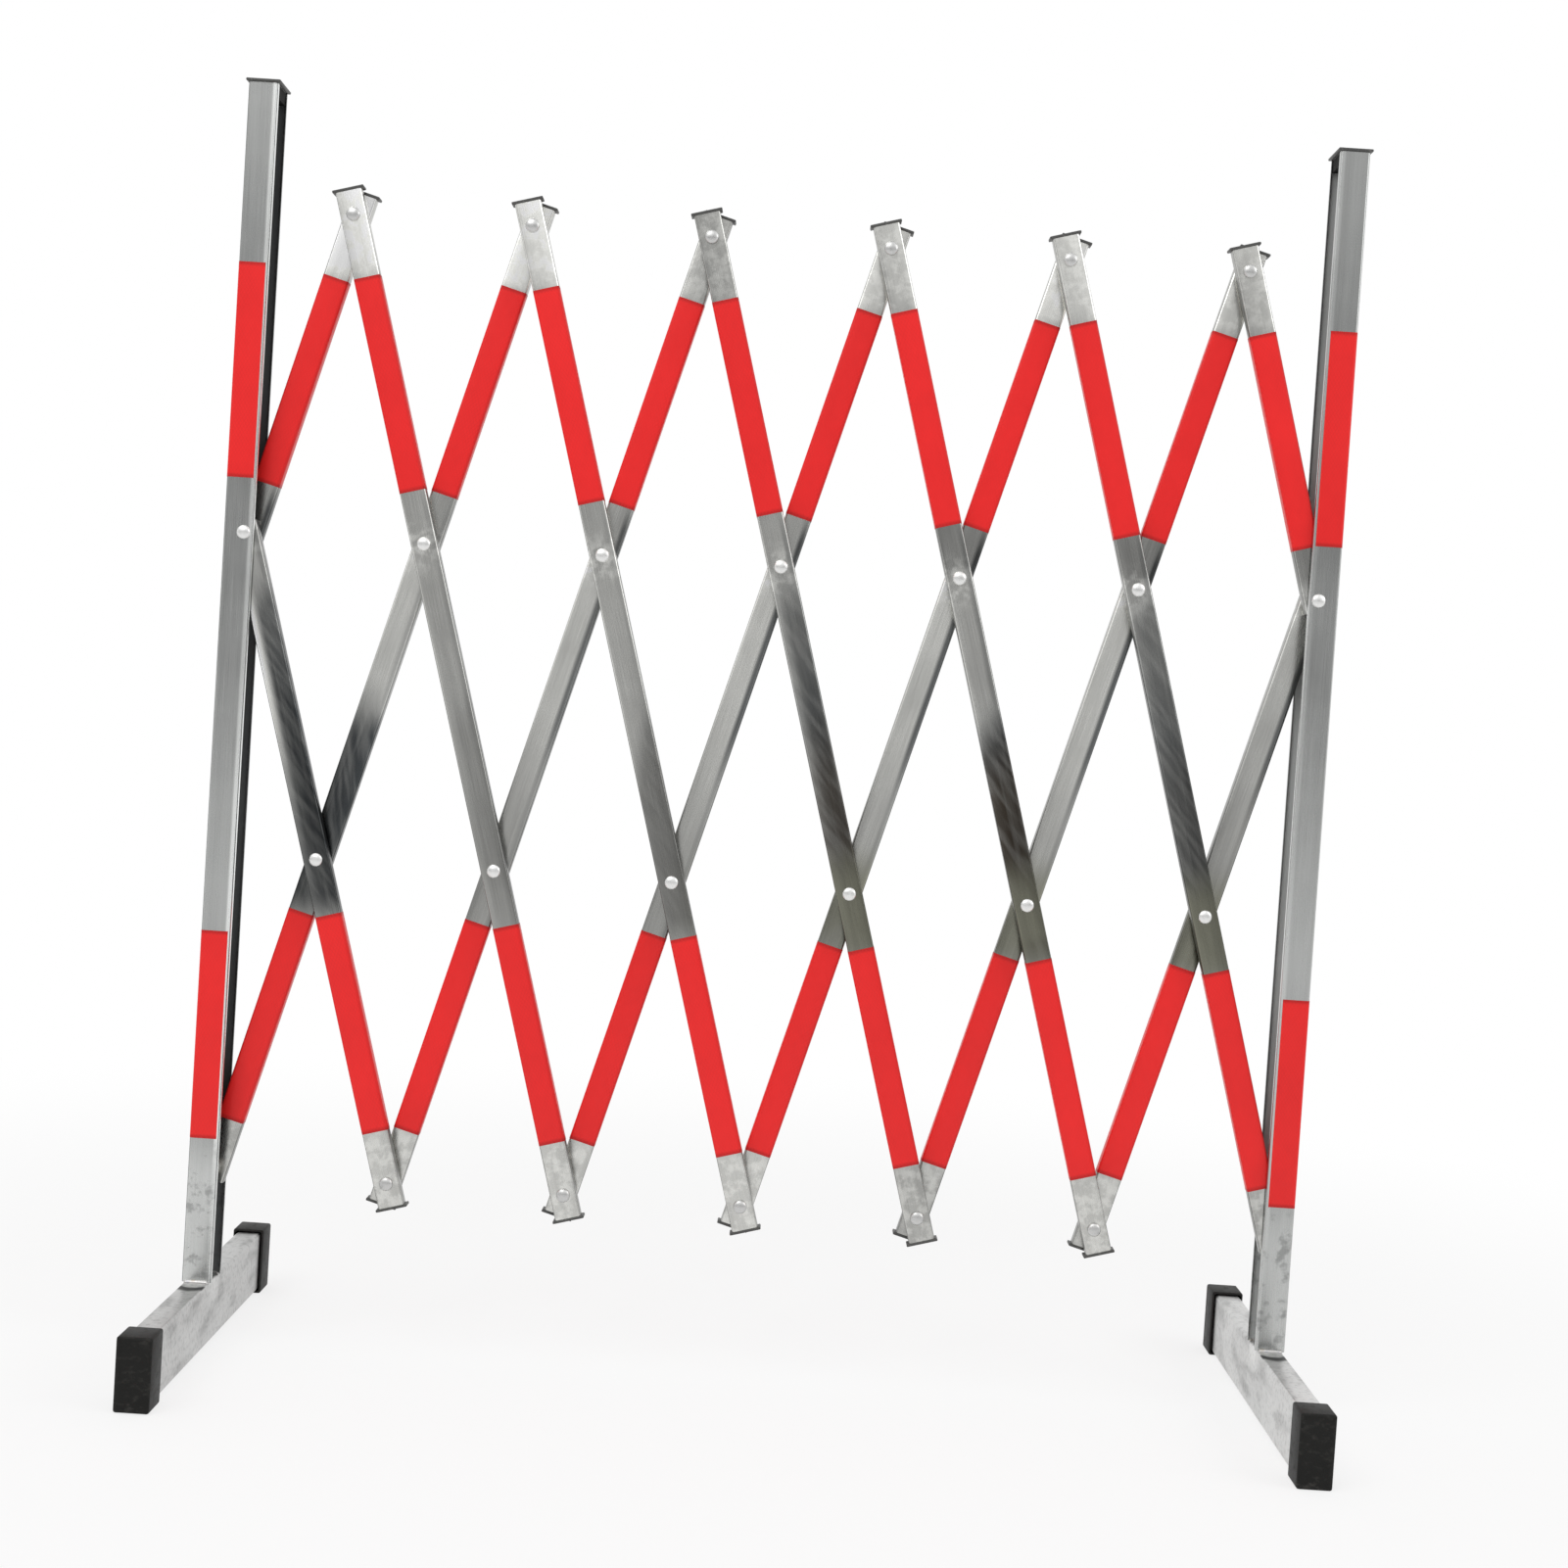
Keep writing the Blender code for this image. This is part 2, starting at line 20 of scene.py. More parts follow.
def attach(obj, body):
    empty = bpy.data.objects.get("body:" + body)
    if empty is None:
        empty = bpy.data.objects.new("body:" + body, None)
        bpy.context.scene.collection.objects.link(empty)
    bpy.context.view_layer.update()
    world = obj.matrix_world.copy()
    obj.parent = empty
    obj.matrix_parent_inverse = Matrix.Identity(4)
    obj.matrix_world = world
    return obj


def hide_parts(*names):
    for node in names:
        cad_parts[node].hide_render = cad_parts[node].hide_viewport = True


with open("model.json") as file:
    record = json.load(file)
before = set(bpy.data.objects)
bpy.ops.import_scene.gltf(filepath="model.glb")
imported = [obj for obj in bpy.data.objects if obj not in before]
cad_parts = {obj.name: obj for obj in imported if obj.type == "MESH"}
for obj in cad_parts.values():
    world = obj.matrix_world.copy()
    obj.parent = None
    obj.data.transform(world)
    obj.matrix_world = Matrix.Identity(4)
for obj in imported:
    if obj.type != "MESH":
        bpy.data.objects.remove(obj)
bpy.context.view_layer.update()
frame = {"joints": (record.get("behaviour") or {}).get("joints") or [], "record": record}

bl_info = {
    "name": "Expandable safety barrier",
    "version": (1, 0, 0),
    "blender": (4, 5, 0),
    "location": "3D View > Sidebar > Barrier",
    "description": "Adds the detailed pieces of an expandable safety barrier to its frame",
    "category": "Add Mesh",
}

IMAGE_PIXELS = 1601

BODY_OF_NODE = {
    node: body for body, nodes in frame["record"]["behaviour"]["bodies"].items() for node in nodes
}
JOINT_PLACE = {joint["name"]: Vector(joint["pos_m"]) for joint in frame["joints"]}

# The lattice as it stands at rest, worked out from the frame's pivots
PITCHES = 6
LEFT_PIVOT = JOINT_PLACE["fold"]
RIGHT_PIVOT = JOINT_PLACE["right_post_pivot"]
PITCH = (RIGHT_PIVOT.x - LEFT_PIVOT.x) / PITCHES
RISE = LEFT_PIVOT.z - JOINT_PLACE["lower_pivot_1"].z
SEGMENT = math.hypot(PITCH / 2, RISE)
LEAN = math.atan2(PITCH / 2, RISE)

# Rows of pivots: height above the upper row in segments, and sideways shift in pitches
ROWS = {"top": (1, -0.5), "upper": (0, 0), "lower": (-1, -0.5), "bottom": (-2, 0)}
# The posts: pivot of the upper row that each holds, and its turn from the left post's
SIDES = {"left": (0, 0.0), "right": (PITCHES, math.pi)}

X, Y, Z = Vector((1, 0, 0)), Vector((0, 1, 0)), Vector((0, 0, 1))
ALONG_Y = (math.pi / 2, 0, 0)
SMOOTH_ANGLE = math.radians(35)
# Clearance between pieces and under the tape, and distance within which points meet
GAP = 0.0003
TAPE_GAP = GAP / 10
TOUCH = 0.00001
# Depth of the brushed streaks on steel
BRUSHING = 0.00003
# Cosines of the angles within which a face looks along a direction, an edge runs along one, and
# a facet of a rounded corner counts as part of an arm's narrow side
LOOKS_ALONG, RUNS_ALONG, SIDE_FACET = 0.95, 0.99, 0.8
# Sides of the drill, and segments of a post's or beam's corner, an arm's corner and a moulded edge
DRILL_SIDES = 20
CORNER_SEGMENTS, ARM_SEGMENTS, EDGE_SEGMENTS = 5, 4, 3


def length(name, description, default):
    return FloatProperty(
        name=name, description=description, default=default, min=0, precision=5,
        unit="LENGTH", subtype="DISTANCE",
    )


def share(name, description, default):
    return FloatProperty(
        name=name, description=description, default=default, min=0, max=1, subtype="FACTOR"
    )


def power(name, description, default):
    return FloatProperty(name=name, description=description, default=default, min=0, unit="POWER")


def colour(name, description, default):
    return FloatVectorProperty(
        name=name, description=description, default=default, min=0, max=1, size=3, subtype="COLOR"
    )


class ArmSizes(bpy.types.PropertyGroup):
    """Flat tubes of the lattice and the plugs in their free ends."""

    width: length("Width", "Width of an arm's tube, seen from the front", 0.025)
    thickness: length("Thickness", "Thickness of an arm's tube, front to rear", 0.0125)
    wall: length("Wall", "Wall of the tube", 0.0008)
    corner: length("Corner", "Outer corner radius of the tube", 0.002)
    layer_gap: length("Layer gap", "Room between the front and the rear layer of arms", 0.003)
    free_end: length("Free end", "Reach of an arm past its last pivot", 0.025)
    post_end: length("Post end", "Reach of an arm past a pivot inside a post", 0.010)
    plug_thickness: length("Plug flange", "Thickness of an end plug's flange", 0.0025)
    plug_overhang: length("Plug overhang", "How far the flange stands past the tube's sides", 0.0025)
    plug_insert: length("Plug insert", "How deep a plug sits in its tube", 0.012)
    plug_edge: length("Plug edge", "Rounding of the flange's edges", 0.0007)


class TapeSizes(bpy.types.PropertyGroup):
    """Bands of reflective tape; shares count down from a segment's upper pivot or up from the floor."""

    thickness: length("Thickness", "Thickness of the tape", 0.00025)
    lap: length("Lap", "Height of the lap where a band's end lies on its beginning", 0.00018)
    lap_width: length("Lap width", "Width of the lap on an arm's rear face", 0.007)
    top_start: share("Top start", "Beginning of the top band", 0.19)
    top_end: share("Top end", "End of the top band", 0.84)
    bottom_start: share("Bottom start", "Beginning of the bottom band", 0.17)
    bottom_end: share("Bottom end", "End of the bottom band", 0.84)
    post_low_start: share("Post low start", "Beginning of a post's lower band", 0.168)
    post_low_end: share("Post low end", "End of a post's lower band", 0.333)
    post_high_start: share("Post high start", "Beginning of a post's upper band", 0.690)
    post_high_end: share("Post high end", "End of a post's upper band", 0.858)


class FastenerSizes(bpy.types.PropertyGroup):
    """Rivets, pivot bolts, nuts and the pins and bushes of the sliding ends."""

    pin: length("Pin", "Radius of every rivet's, bolt's and slider's shank", 0.003)
    head: length("Head", "Radius of a domed head", 0.0065)
    head_height: length("Head height", "Height of a domed head", 0.0034)
    tail: length("Tail", "Radius of a rivet's rolled tail", 0.0055)
    tail_height: length("Tail height", "Height of a rivet's rolled tail", 0.0018)
    collar: length("Collar", "Radius of the washer between the layers", 0.007)
    spacer: length("Spacer", "Radius of the spacers inside a post", 0.006)
    shoulder: length("Shoulder", "Radius of a slider pin's shoulder", 0.005)
    nut_flats: length("Nut", "Distance across a nut's flats", 0.010)
    nut_thickness: length("Nut thickness", "Thickness of a nut", 0.005)
    bolt_point: length("Bolt point", "How far a bolt's thread stands past its nut", 0.002)
    thread: length("Thread", "Pitch of the bolt's thread", 0.001)


class PostSizes(bpy.types.PropertyGroup):
    """Lipped channel posts, open towards the lattice, and their caps."""

    height: length("Height", "Height of the barrier, caps included", 1.2)
    foot: length("Foot", "Height above the floor at which a post begins", 0.0636)
    width: length("Width", "Width of a post, seen from the front", 0.028008)
    depth: length("Depth", "Depth of a post, front to rear", 0.040)
    wall: length("Wall", "Wall of the channel", 0.0012)
    lip: length("Lip", "Width of the lips beside the channel's slot", 0.0045)
    corner: length("Corner", "Outer corner radius of the channel", 0.0025)
    pivot_inset: length("Pivot inset", "Distance of the pivots behind the open face", 0.009)
    cap_thickness: length("Cap plate", "Thickness of a cap's plate", 0.0025)
    cap_overhang: length("Cap overhang", "How far the plate stands past the post", 0.0022)
    cap_plug: length("Cap plug", "How deep a cap's plug sits in the channel", 0.012)
    cap_edge: length("Cap edge", "Rounding of the plate's edges", 0.0009)


class FootSizes(bpy.types.PropertyGroup):
    """Foot beams with their rubber shoes and the welds that hold the posts."""

    length: length("Length", "Length of a foot over its shoes", 0.440)
    width: length("Width", "Width of the box tube", 0.025)
    height: length("Height", "Height of the box tube", 0.060)
    wall: length("Wall", "Wall of the box tube", 0.0012)
    corner: length("Corner", "Outer corner radius of the box tube", 0.003)
    shoe_wall: length("Shoe wall", "Wall of a shoe", 0.003)
    shoe_end: length("Shoe end", "Thickness of a shoe's closed end", 0.004)
    shoe_grip: length("Shoe grip", "How far a shoe reaches over the beam", 0.031)
    shoe_edge: length("Shoe edge", "Rounding of a shoe's edges", 0.0024)
    weld: length("Weld", "Radius of a weld bead", 0.0024)


class BarrierFinishes(bpy.types.PropertyGroup):
    """Colours of the surfaces."""

    arm_steel: colour("Arm steel", "Brushed stainless steel of the arms", (0.62, 0.62, 0.595))
    post_steel: colour("Post steel", "Brushed stainless steel of the posts", (0.60, 0.61, 0.60))
    foot_steel: colour("Foot steel", "Satin stainless steel of the feet", (0.76, 0.76, 0.75))
    # The cool and warm shades paint dark reflection on the arms; the cool one also paints shade inside
    # a post and darkens the crescent by a foot's weld
    cool_shade: colour("Cool shade", "Smoky tint of the darker stretches", (0.070, 0.076, 0.080))
    warm_shade: colour("Warm shade", "Brownish tint of the darker stretches", (0.078, 0.064, 0.050))
    olive_shade: colour("Olive shade", "Olive tint beside the lower row", (0.350, 0.350, 0.275))
    red_tape: colour("Red tape", "Reflective tape", (0.90, 0.020, 0.020))
    fastener: colour("Fasteners", "Polished rivets, bolts and nuts", (0.86, 0.86, 0.85))
    plastic: colour("Plastic", "Caps and end plugs", (0.085, 0.085, 0.082))
    rubber: colour("Rubber", "Foot shoes", (0.013, 0.013, 0.012))
    nylon: colour("Nylon", "Slider bushes", (0.78, 0.76, 0.70))
    weld: colour("Weld", "Weld beads", (0.62, 0.61, 0.60))
    tape_scuff: colour("Tape scuff", "Scuffed spots of the tape", (0.62, 0.10, 0.08))
    shoe_dust: colour("Shoe dust", "Dust on the shoes", (0.075, 0.072, 0.066))
    nylon_grime: colour("Nylon grime", "Grime on the slider bushes", (0.30, 0.28, 0.24))
    straw_heat: colour("Straw heat", "Straw heat tint of the welds", (0.46, 0.38, 0.26))
    blue_heat: colour("Blue heat", "Blue heat tint of the welds", (0.26, 0.30, 0.42))


class StageLook(bpy.types.PropertyGroup):
    """Floor, lamps and camera."""

    floor: colour("Floor", "Pale floor", (0.96, 0.96, 0.96))
    floor_radius: length("Floor radius", "Radius of the floor", 9.0)
    key_power: power("Key lamp", "Power of the large soft lamp at the front", 42)
    fill_power: power("Fill lamp", "Power of the soft lamp at the right", 20)
    sky: share("Sky", "Light from all round on matt surfaces", 0.62)


class BarrierSettings(bpy.types.PropertyGroup):
    """Everything that can be changed before the pieces are added."""

    arms: PointerProperty(type=ArmSizes)
    tape: PointerProperty(type=TapeSizes)
    fasteners: PointerProperty(type=FastenerSizes)
    posts: PointerProperty(type=PostSizes)
    feet: PointerProperty(type=FootSizes)
    finishes: PointerProperty(type=BarrierFinishes)
    stage: PointerProperty(type=StageLook)


# Places worked out from the sizes

def layer_middle(arms):
    return (arms.layer_gap + arms.thickness) / 2


def layer_outer(arms):
    return arms.layer_gap / 2 + arms.thickness


def post_inner_half(posts):
    return posts.depth / 2 - posts.wall


def post_middle(posts):
    """Middle of the left post, seen from its pivots."""
    return posts.pivot_inset - posts.width / 2


def beam_top(feet):
    return GAP + feet.shoe_wall + feet.height


def pivot(row, number):
    """Place of a pivot on the lattice's middle plane; rows count from the left post."""
    height, shift = ROWS[row]
    return Vector((LEFT_PIVOT.x + (number + shift) * PITCH, 0, LEFT_PIVOT.z + height * RISE))


def top_band(tape):
    return (1 - tape.top_end) * SEGMENT, (1 - tape.top_start) * SEGMENT


def bottom_band(tape):
    return -(1 + tape.bottom_end) * SEGMENT, -(1 + tape.bottom_start) * SEGMENT


# Modelling

def start_clean():
    """Leave edit mode and deselect everything, the frame's nodes too."""
    if bpy.context.object and bpy.context.object.mode != "OBJECT":
        bpy.ops.object.mode_set(mode="OBJECT")
    bpy.ops.object.select_all(action="DESELECT")


def choose(piece):
    start_clean()
    piece.select_set(True)
    bpy.context.view_layer.objects.active = piece


def settle(name):
    """Name the new primitive and put its place, turn and size into its mesh."""
    piece = bpy.context.object
    piece.name = piece.data.name = name
    bpy.ops.object.transform_apply(location=True, rotation=True, scale=True)
    return piece


def add_block(name, low, high):
    """Cube stretched between two corners."""
    low, high = Vector(low), Vector(high)
    start_clean()
    bpy.ops.mesh.primitive_cube_add(
        size=1, calc_uvs=False, location=(low + high) / 2, scale=high - low)
    return settle(name)


class Editing:
    """Edit mode on one piece, with its faces and edges chosen by place or direction."""

    def __init__(self, piece):
        self.piece = piece

    def __enter__(self):
        choose(self.piece)
        bpy.ops.object.mode_set(mode="EDIT")
        return self

    def __exit__(self, *problem):
        bpy.ops.object.mode_set(mode="OBJECT")
        return False

    def pick(self, kind, test):
        bpy.ops.mesh.select_mode(type=kind)
        bpy.ops.mesh.select_all(action="DESELECT")
        shape = bmesh.from_edit_mesh(self.piece.data)
        shape.normal_update()
        chosen = [item for item in (shape.faces if kind == "FACE" else shape.edges) if test(item)]
        if not chosen:
            raise RuntimeError(f"nothing to select on {self.piece.name}")
        for item in chosen:
            item.select_set(True)
        bmesh.update_edit_mesh(self.piece.data)

    def remove(self, *directions):
        """Take away the faces that look along the directions."""
        self.pick("FACE", facing(*directions))
        bpy.ops.mesh.delete(type="FACE")

    def round_edges(self, test, radius, segments):
        self.pick("EDGE", test)
        bpy.ops.mesh.bevel(offset=radius, segments=segments)

    def inset(self, thickness, *directions):
        """Inset the faces that look along the directions, and leave their middles chosen."""
        self.pick("FACE", facing(*directions))
        bpy.ops.mesh.inset(thickness=thickness)

    def move(self, x=0.0, y=0.0, z=0.0):
        bpy.ops.transform.translate(value=(x, y, z))

    def extrude(self, x=0.0, y=0.0, z=0.0):
        bpy.ops.mesh.extrude_region_move(TRANSFORM_OT_translate={"value": (x, y, z)})

    def resize(self, x, y, z, centre):
        bpy.ops.transform.resize(value=(x, y, z), center_override=tuple(centre))

    def draw_stem(self, half_sizes, stem, ledge, depth, taper, centre):
        """Draw a tapered stem down from the lower face, which has the given half sizes."""
        self.inset(ledge, -Z)
        fit = [size / (half - ledge) for size, half in zip(stem, half_sizes)]
        self.resize(*fit, 1, centre)
        self.extrude(z=-depth)
        self.resize(*taper, 1, centre - depth * Z)


def facing(*directions):
    """Test for faces that look along one of the directions."""
    return lambda face: any(face.normal.dot(direction) > LOOKS_ALONG for direction in directions)


def every(item):
    return True


def running(direction, test=every):
    """Test for edges that run along a direction and pass a further test."""
    def passes(edge):
        along = (edge.verts[1].co - edge.verts[0].co).normalized()
        return abs(along.dot(direction)) > RUNS_ALONG and test(edge)
    return passes


def at(edge, axis, value):
    """Whether both ends of an edge lie at a value on an axis."""
    return all(abs(corner.co[axis] - value) < TOUCH for corner in edge.verts)


def apply_modifier(piece, kind, **settings):
    choose(piece)
    modifier = piece.modifiers.new(kind.lower(), kind)
    for name, value in settings.items():
        setattr(modifier, name, value)
    bpy.ops.object.modifier_apply(modifier=modifier.name)


def add_wall(piece, thickness):
    """Thicken an open shell inwards."""
    apply_modifier(piece, "SOLIDIFY", thickness=thickness, offset=-1, use_even_offset=True)


def smooth(piece):
    choose(piece)
    bpy.ops.object.shade_smooth_by_angle(angle=SMOOTH_ANGLE)


def point_outwards(piece):
    with Editing(piece):
        bpy.ops.mesh.select_all(action="SELECT")
        bpy.ops.mesh.remove_doubles(threshold=TOUCH)
        bpy.ops.mesh.normals_make_consistent(inside=False)


def turn_piece(name, profile, sides):
    """Solid of revolution about Y: a disc is extruded and resized along (radius, y) stations."""
    radius, y = profile[0]
    start_clean()
    bpy.ops.mesh.primitive_circle_add(
        vertices=sides, radius=radius, fill_type="NGON", calc_uvs=False,
        location=(0, y, 0), rotation=ALONG_Y,
    )
    piece = settle(name)
    with Editing(piece) as work:
        bpy.ops.mesh.select_mode(type="FACE")
        bpy.ops.mesh.select_all(action="SELECT")
        for next_radius, next_y in profile[1:]:
            work.extrude(y=next_y - y)
            if next_radius != radius:
                ratio = next_radius / radius
                work.resize(ratio, 1, ratio, (0, next_y, 0))
            radius, y = next_radius, next_y
    point_outwards(piece)
    smooth(piece)
    return piece


def drill(piece, heights, radius, reach):
    """Cut pivot holes along Y at the given heights, as far as the drill reaches to either side."""
    for height in heights:
        start_clean()
        bpy.ops.mesh.primitive_cylinder_add(
            vertices=DRILL_SIDES, radius=radius, depth=2 * reach, calc_uvs=False,
            location=(0, 0, height), rotation=ALONG_Y,
        )
        bit = settle("drill")
        apply_modifier(piece, "BOOLEAN", operation="DIFFERENCE", solver="EXACT", object=bit)
        bpy.data.objects.remove(bit)


def add_shell(name, low, high, open_sides, edges, radius, segments=CORNER_SEGMENTS):
    """Block without the faces on its open sides and with some edges rounded, before its wall."""
    shell = add_block(name, low, high)
    with Editing(shell) as work:
        work.remove(*open_sides)
        work.round_edges(edges, radius, segments)
    return shell


def lay_grain(piece, across, along):
    """UV map in metres: U runs round the piece and V along it."""
    mesh = piece.data
    layer = mesh.uv_layers.new(name="grain")
    for corner, uv in zip(mesh.loops, layer.data):
        place = mesh.vertices[corner.vertex_index].co
        uv.uv = (place.dot(across), place.dot(along))


def mark(piece, name, values):
    """Colour attribute that the finishes read: four numbers, or values(face, place) gives them."""
    mesh = piece.data
    layer = mesh.attributes.new(name, "FLOAT_COLOR", "CORNER")
    for face in mesh.polygons:
        for corner in face.loop_indices:
            place = mesh.vertices[mesh.loops[corner].vertex_index].co
            layer.data[corner].color = values(face, place) if callable(values) else values


class Model:
    """A model with its finish, which is copied into its places and then taken away; its slot is kept
    but not used.
    """

    def __init__(self, piece, material, slot):
        self.piece, self.slot = piece, slot
        piece.data.materials.append(material)

    def __enter__(self):
        return self

    def __exit__(self, *problem):
        bpy.data.objects.remove(self.piece)
        return False

    def place(self, name, node, placing, marks=None, replaces=True):
        """Leave a copy with its own mesh on the node's body, as a rule in the node's stead."""
        piece = self.piece.copy()
        piece.data = self.piece.data.copy()
        piece.name = piece.data.name = name
        bpy.context.scene.collection.objects.link(piece)
        for layer, values in (marks or {}).items():
            mark(piece, layer, values)
        piece.data.transform(placing)
        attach(piece, BODY_OF_NODE[node])
        if replaces:
            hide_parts(node)


# Finishes

class Socket:
    """One socket of a finish; arithmetic on it adds Math nodes."""

    def __init__(self, sheet, socket):
        self.sheet, self.socket = sheet, socket

    def also(self, output):
        """Another output of the same node."""
        return Socket(self.sheet, self.socket.node.outputs[output])

    def math(self, operation, *operands):
        return self.sheet.math(operation, self, *operands)

    def ramp(self, low, high, from_value=0.0, to_value=1.0):
        """Smooth step from one value to another as the socket goes from low to high."""
        return self.sheet.node(
            "MapRange", {0: self, 1: low, 2: high, 3: from_value, 4: to_value},
            interpolation_type="SMOOTHSTEP",
        )

    def within(self, start, full, fading, end):
        """1 from full to fading, with a smooth step to 0 at the start and at the end."""
        return self.ramp(start, full) * self.ramp(end, fading)

    def swing(self, amount):
        """A noise moved about zero, so that its whole range spans the amount."""
        return (self - 0.5) * amount

    def __add__(self, other):
        return self.sheet.math("ADD", self, other)

    def __sub__(self, other):
        return self.sheet.math("SUBTRACT", self, other)

    def __rsub__(self, other):
        return self.sheet.math("SUBTRACT", other, self)

    def __mul__(self, other):
        return self.sheet.math("MULTIPLY", self, other)

    def __truediv__(self, other):
        return self.sheet.math("DIVIDE", self, other)

    __radd__ = __add__
    __rmul__ = __mul__


class Sheet:
    """A node tree that is filled node by node."""

    COLUMNS, COLUMN_WIDTH, ROW_HEIGHT = 9, 260, 200

    def __init__(self, tree):
        self.tree = tree

    def node(self, kind, sockets=None, output=0, **settings):
        """Add a node of a kind such as Math, make its settings and then feed its sockets."""
        added = self.tree.nodes.new("ShaderNode" + kind)
        for name, value in settings.items():
            setattr(added, name, value)
        for name, value in (sockets or {}).items():
            self.feed(added.inputs[name], value)
        row, column = divmod(len(self.tree.nodes), self.COLUMNS)
        added.location = (-(column + 1) * self.COLUMN_WIDTH, -row * self.ROW_HEIGHT)
        return Socket(self, added.outputs[output])

    def feed(self, socket, value):
        if isinstance(value, Socket):
            self.tree.links.new(value.socket, socket)
        else:
            socket.default_value = value

    def math(self, operation, *operands):
        return self.node("Math", dict(enumerate(operands)), operation=operation)

    def stretch(self, vector, scale):
        return self.node("VectorMath", {0: vector, 1: scale}, operation="MULTIPLY")

    def noise(self, vector, scale, detail=2.0, roughness=0.5):
        return self.node(
            "TexNoise", {"Vector": vector, "Scale": scale, "Detail": detail, "Roughness": roughness})

    def blend(self, factor, *colours):
        """Mix of two colours; the Mix node's sockets 6, 7 and 2 are those for colours."""
        first, second = (each if isinstance(each, Socket) else (*each, 1.0) for each in colours)
        return self.node("Mix", {0: factor, 6: first, 7: second}, output=2, data_type="RGBA")

    def tint(self, colour, tone):
        """Multiply a colour by a number."""
        return self.node("VectorMath", {0: colour, "Scale": tone}, operation="SCALE")

    def bump(self, height, distance, strength):
        return self.node("Bump", {"Strength": strength, "Distance": distance, "Height": height})

    def place(self):
        return self.node("TexCoord").also("Object")

    def seen(self, path):
        """1 for rays from the camera and for those that pass through something."""
        return path.math("MAXIMUM", path.also("Is Transmission Ray"))

    def sides(self, vector):
        """The three coordinates of a vector."""
        split = self.node("SeparateXYZ", {0: vector})
        return split, split.also(1), split.also(2)


class Finish(Sheet):
    """One material with its shader."""

    def __init__(self, name, constants):
        self.material = bpy.data.materials.new(name)
        self.material.use_nodes = True
        super().__init__(self.material.node_tree)
        self.shader = self.tree.nodes["Principled BSDF"]
        for socket, value in constants.items():
            self.shader.inputs[socket].default_value = value

    def shade(self, sockets):
        for socket, value in sockets.items():
            self.feed(self.shader.inputs[socket], value)
        return self.material

    def grain(self):
        return self.node("UVMap", uv_map="grain")

    def own_grain(self, shift, across, along):
        """The grain, moved over its pattern by a piece's shift times metres across and along."""
        moved = self.node("CombineXYZ", {0: shift * across, 1: shift * along})
        return self.node("VectorMath", {0: self.grain(), 1: moved}, operation="ADD")

    def marks(self, name="marks"):
        """The four numbers of a colour attribute."""
        attribute = self.node("Attribute", attribute_name=name)
        split = self.node("SeparateColor", {0: attribute})
        return split, split.also(1), split.also(2), attribute.also("Alpha")


def once(build):
    """Give back the material that a finish built earlier."""
    def finish():
        known = bpy.data.materials.get(build.__name__)
        return known or build(bpy.context.scene.barrier, bpy.context.scene.barrier.finishes)
    return finish


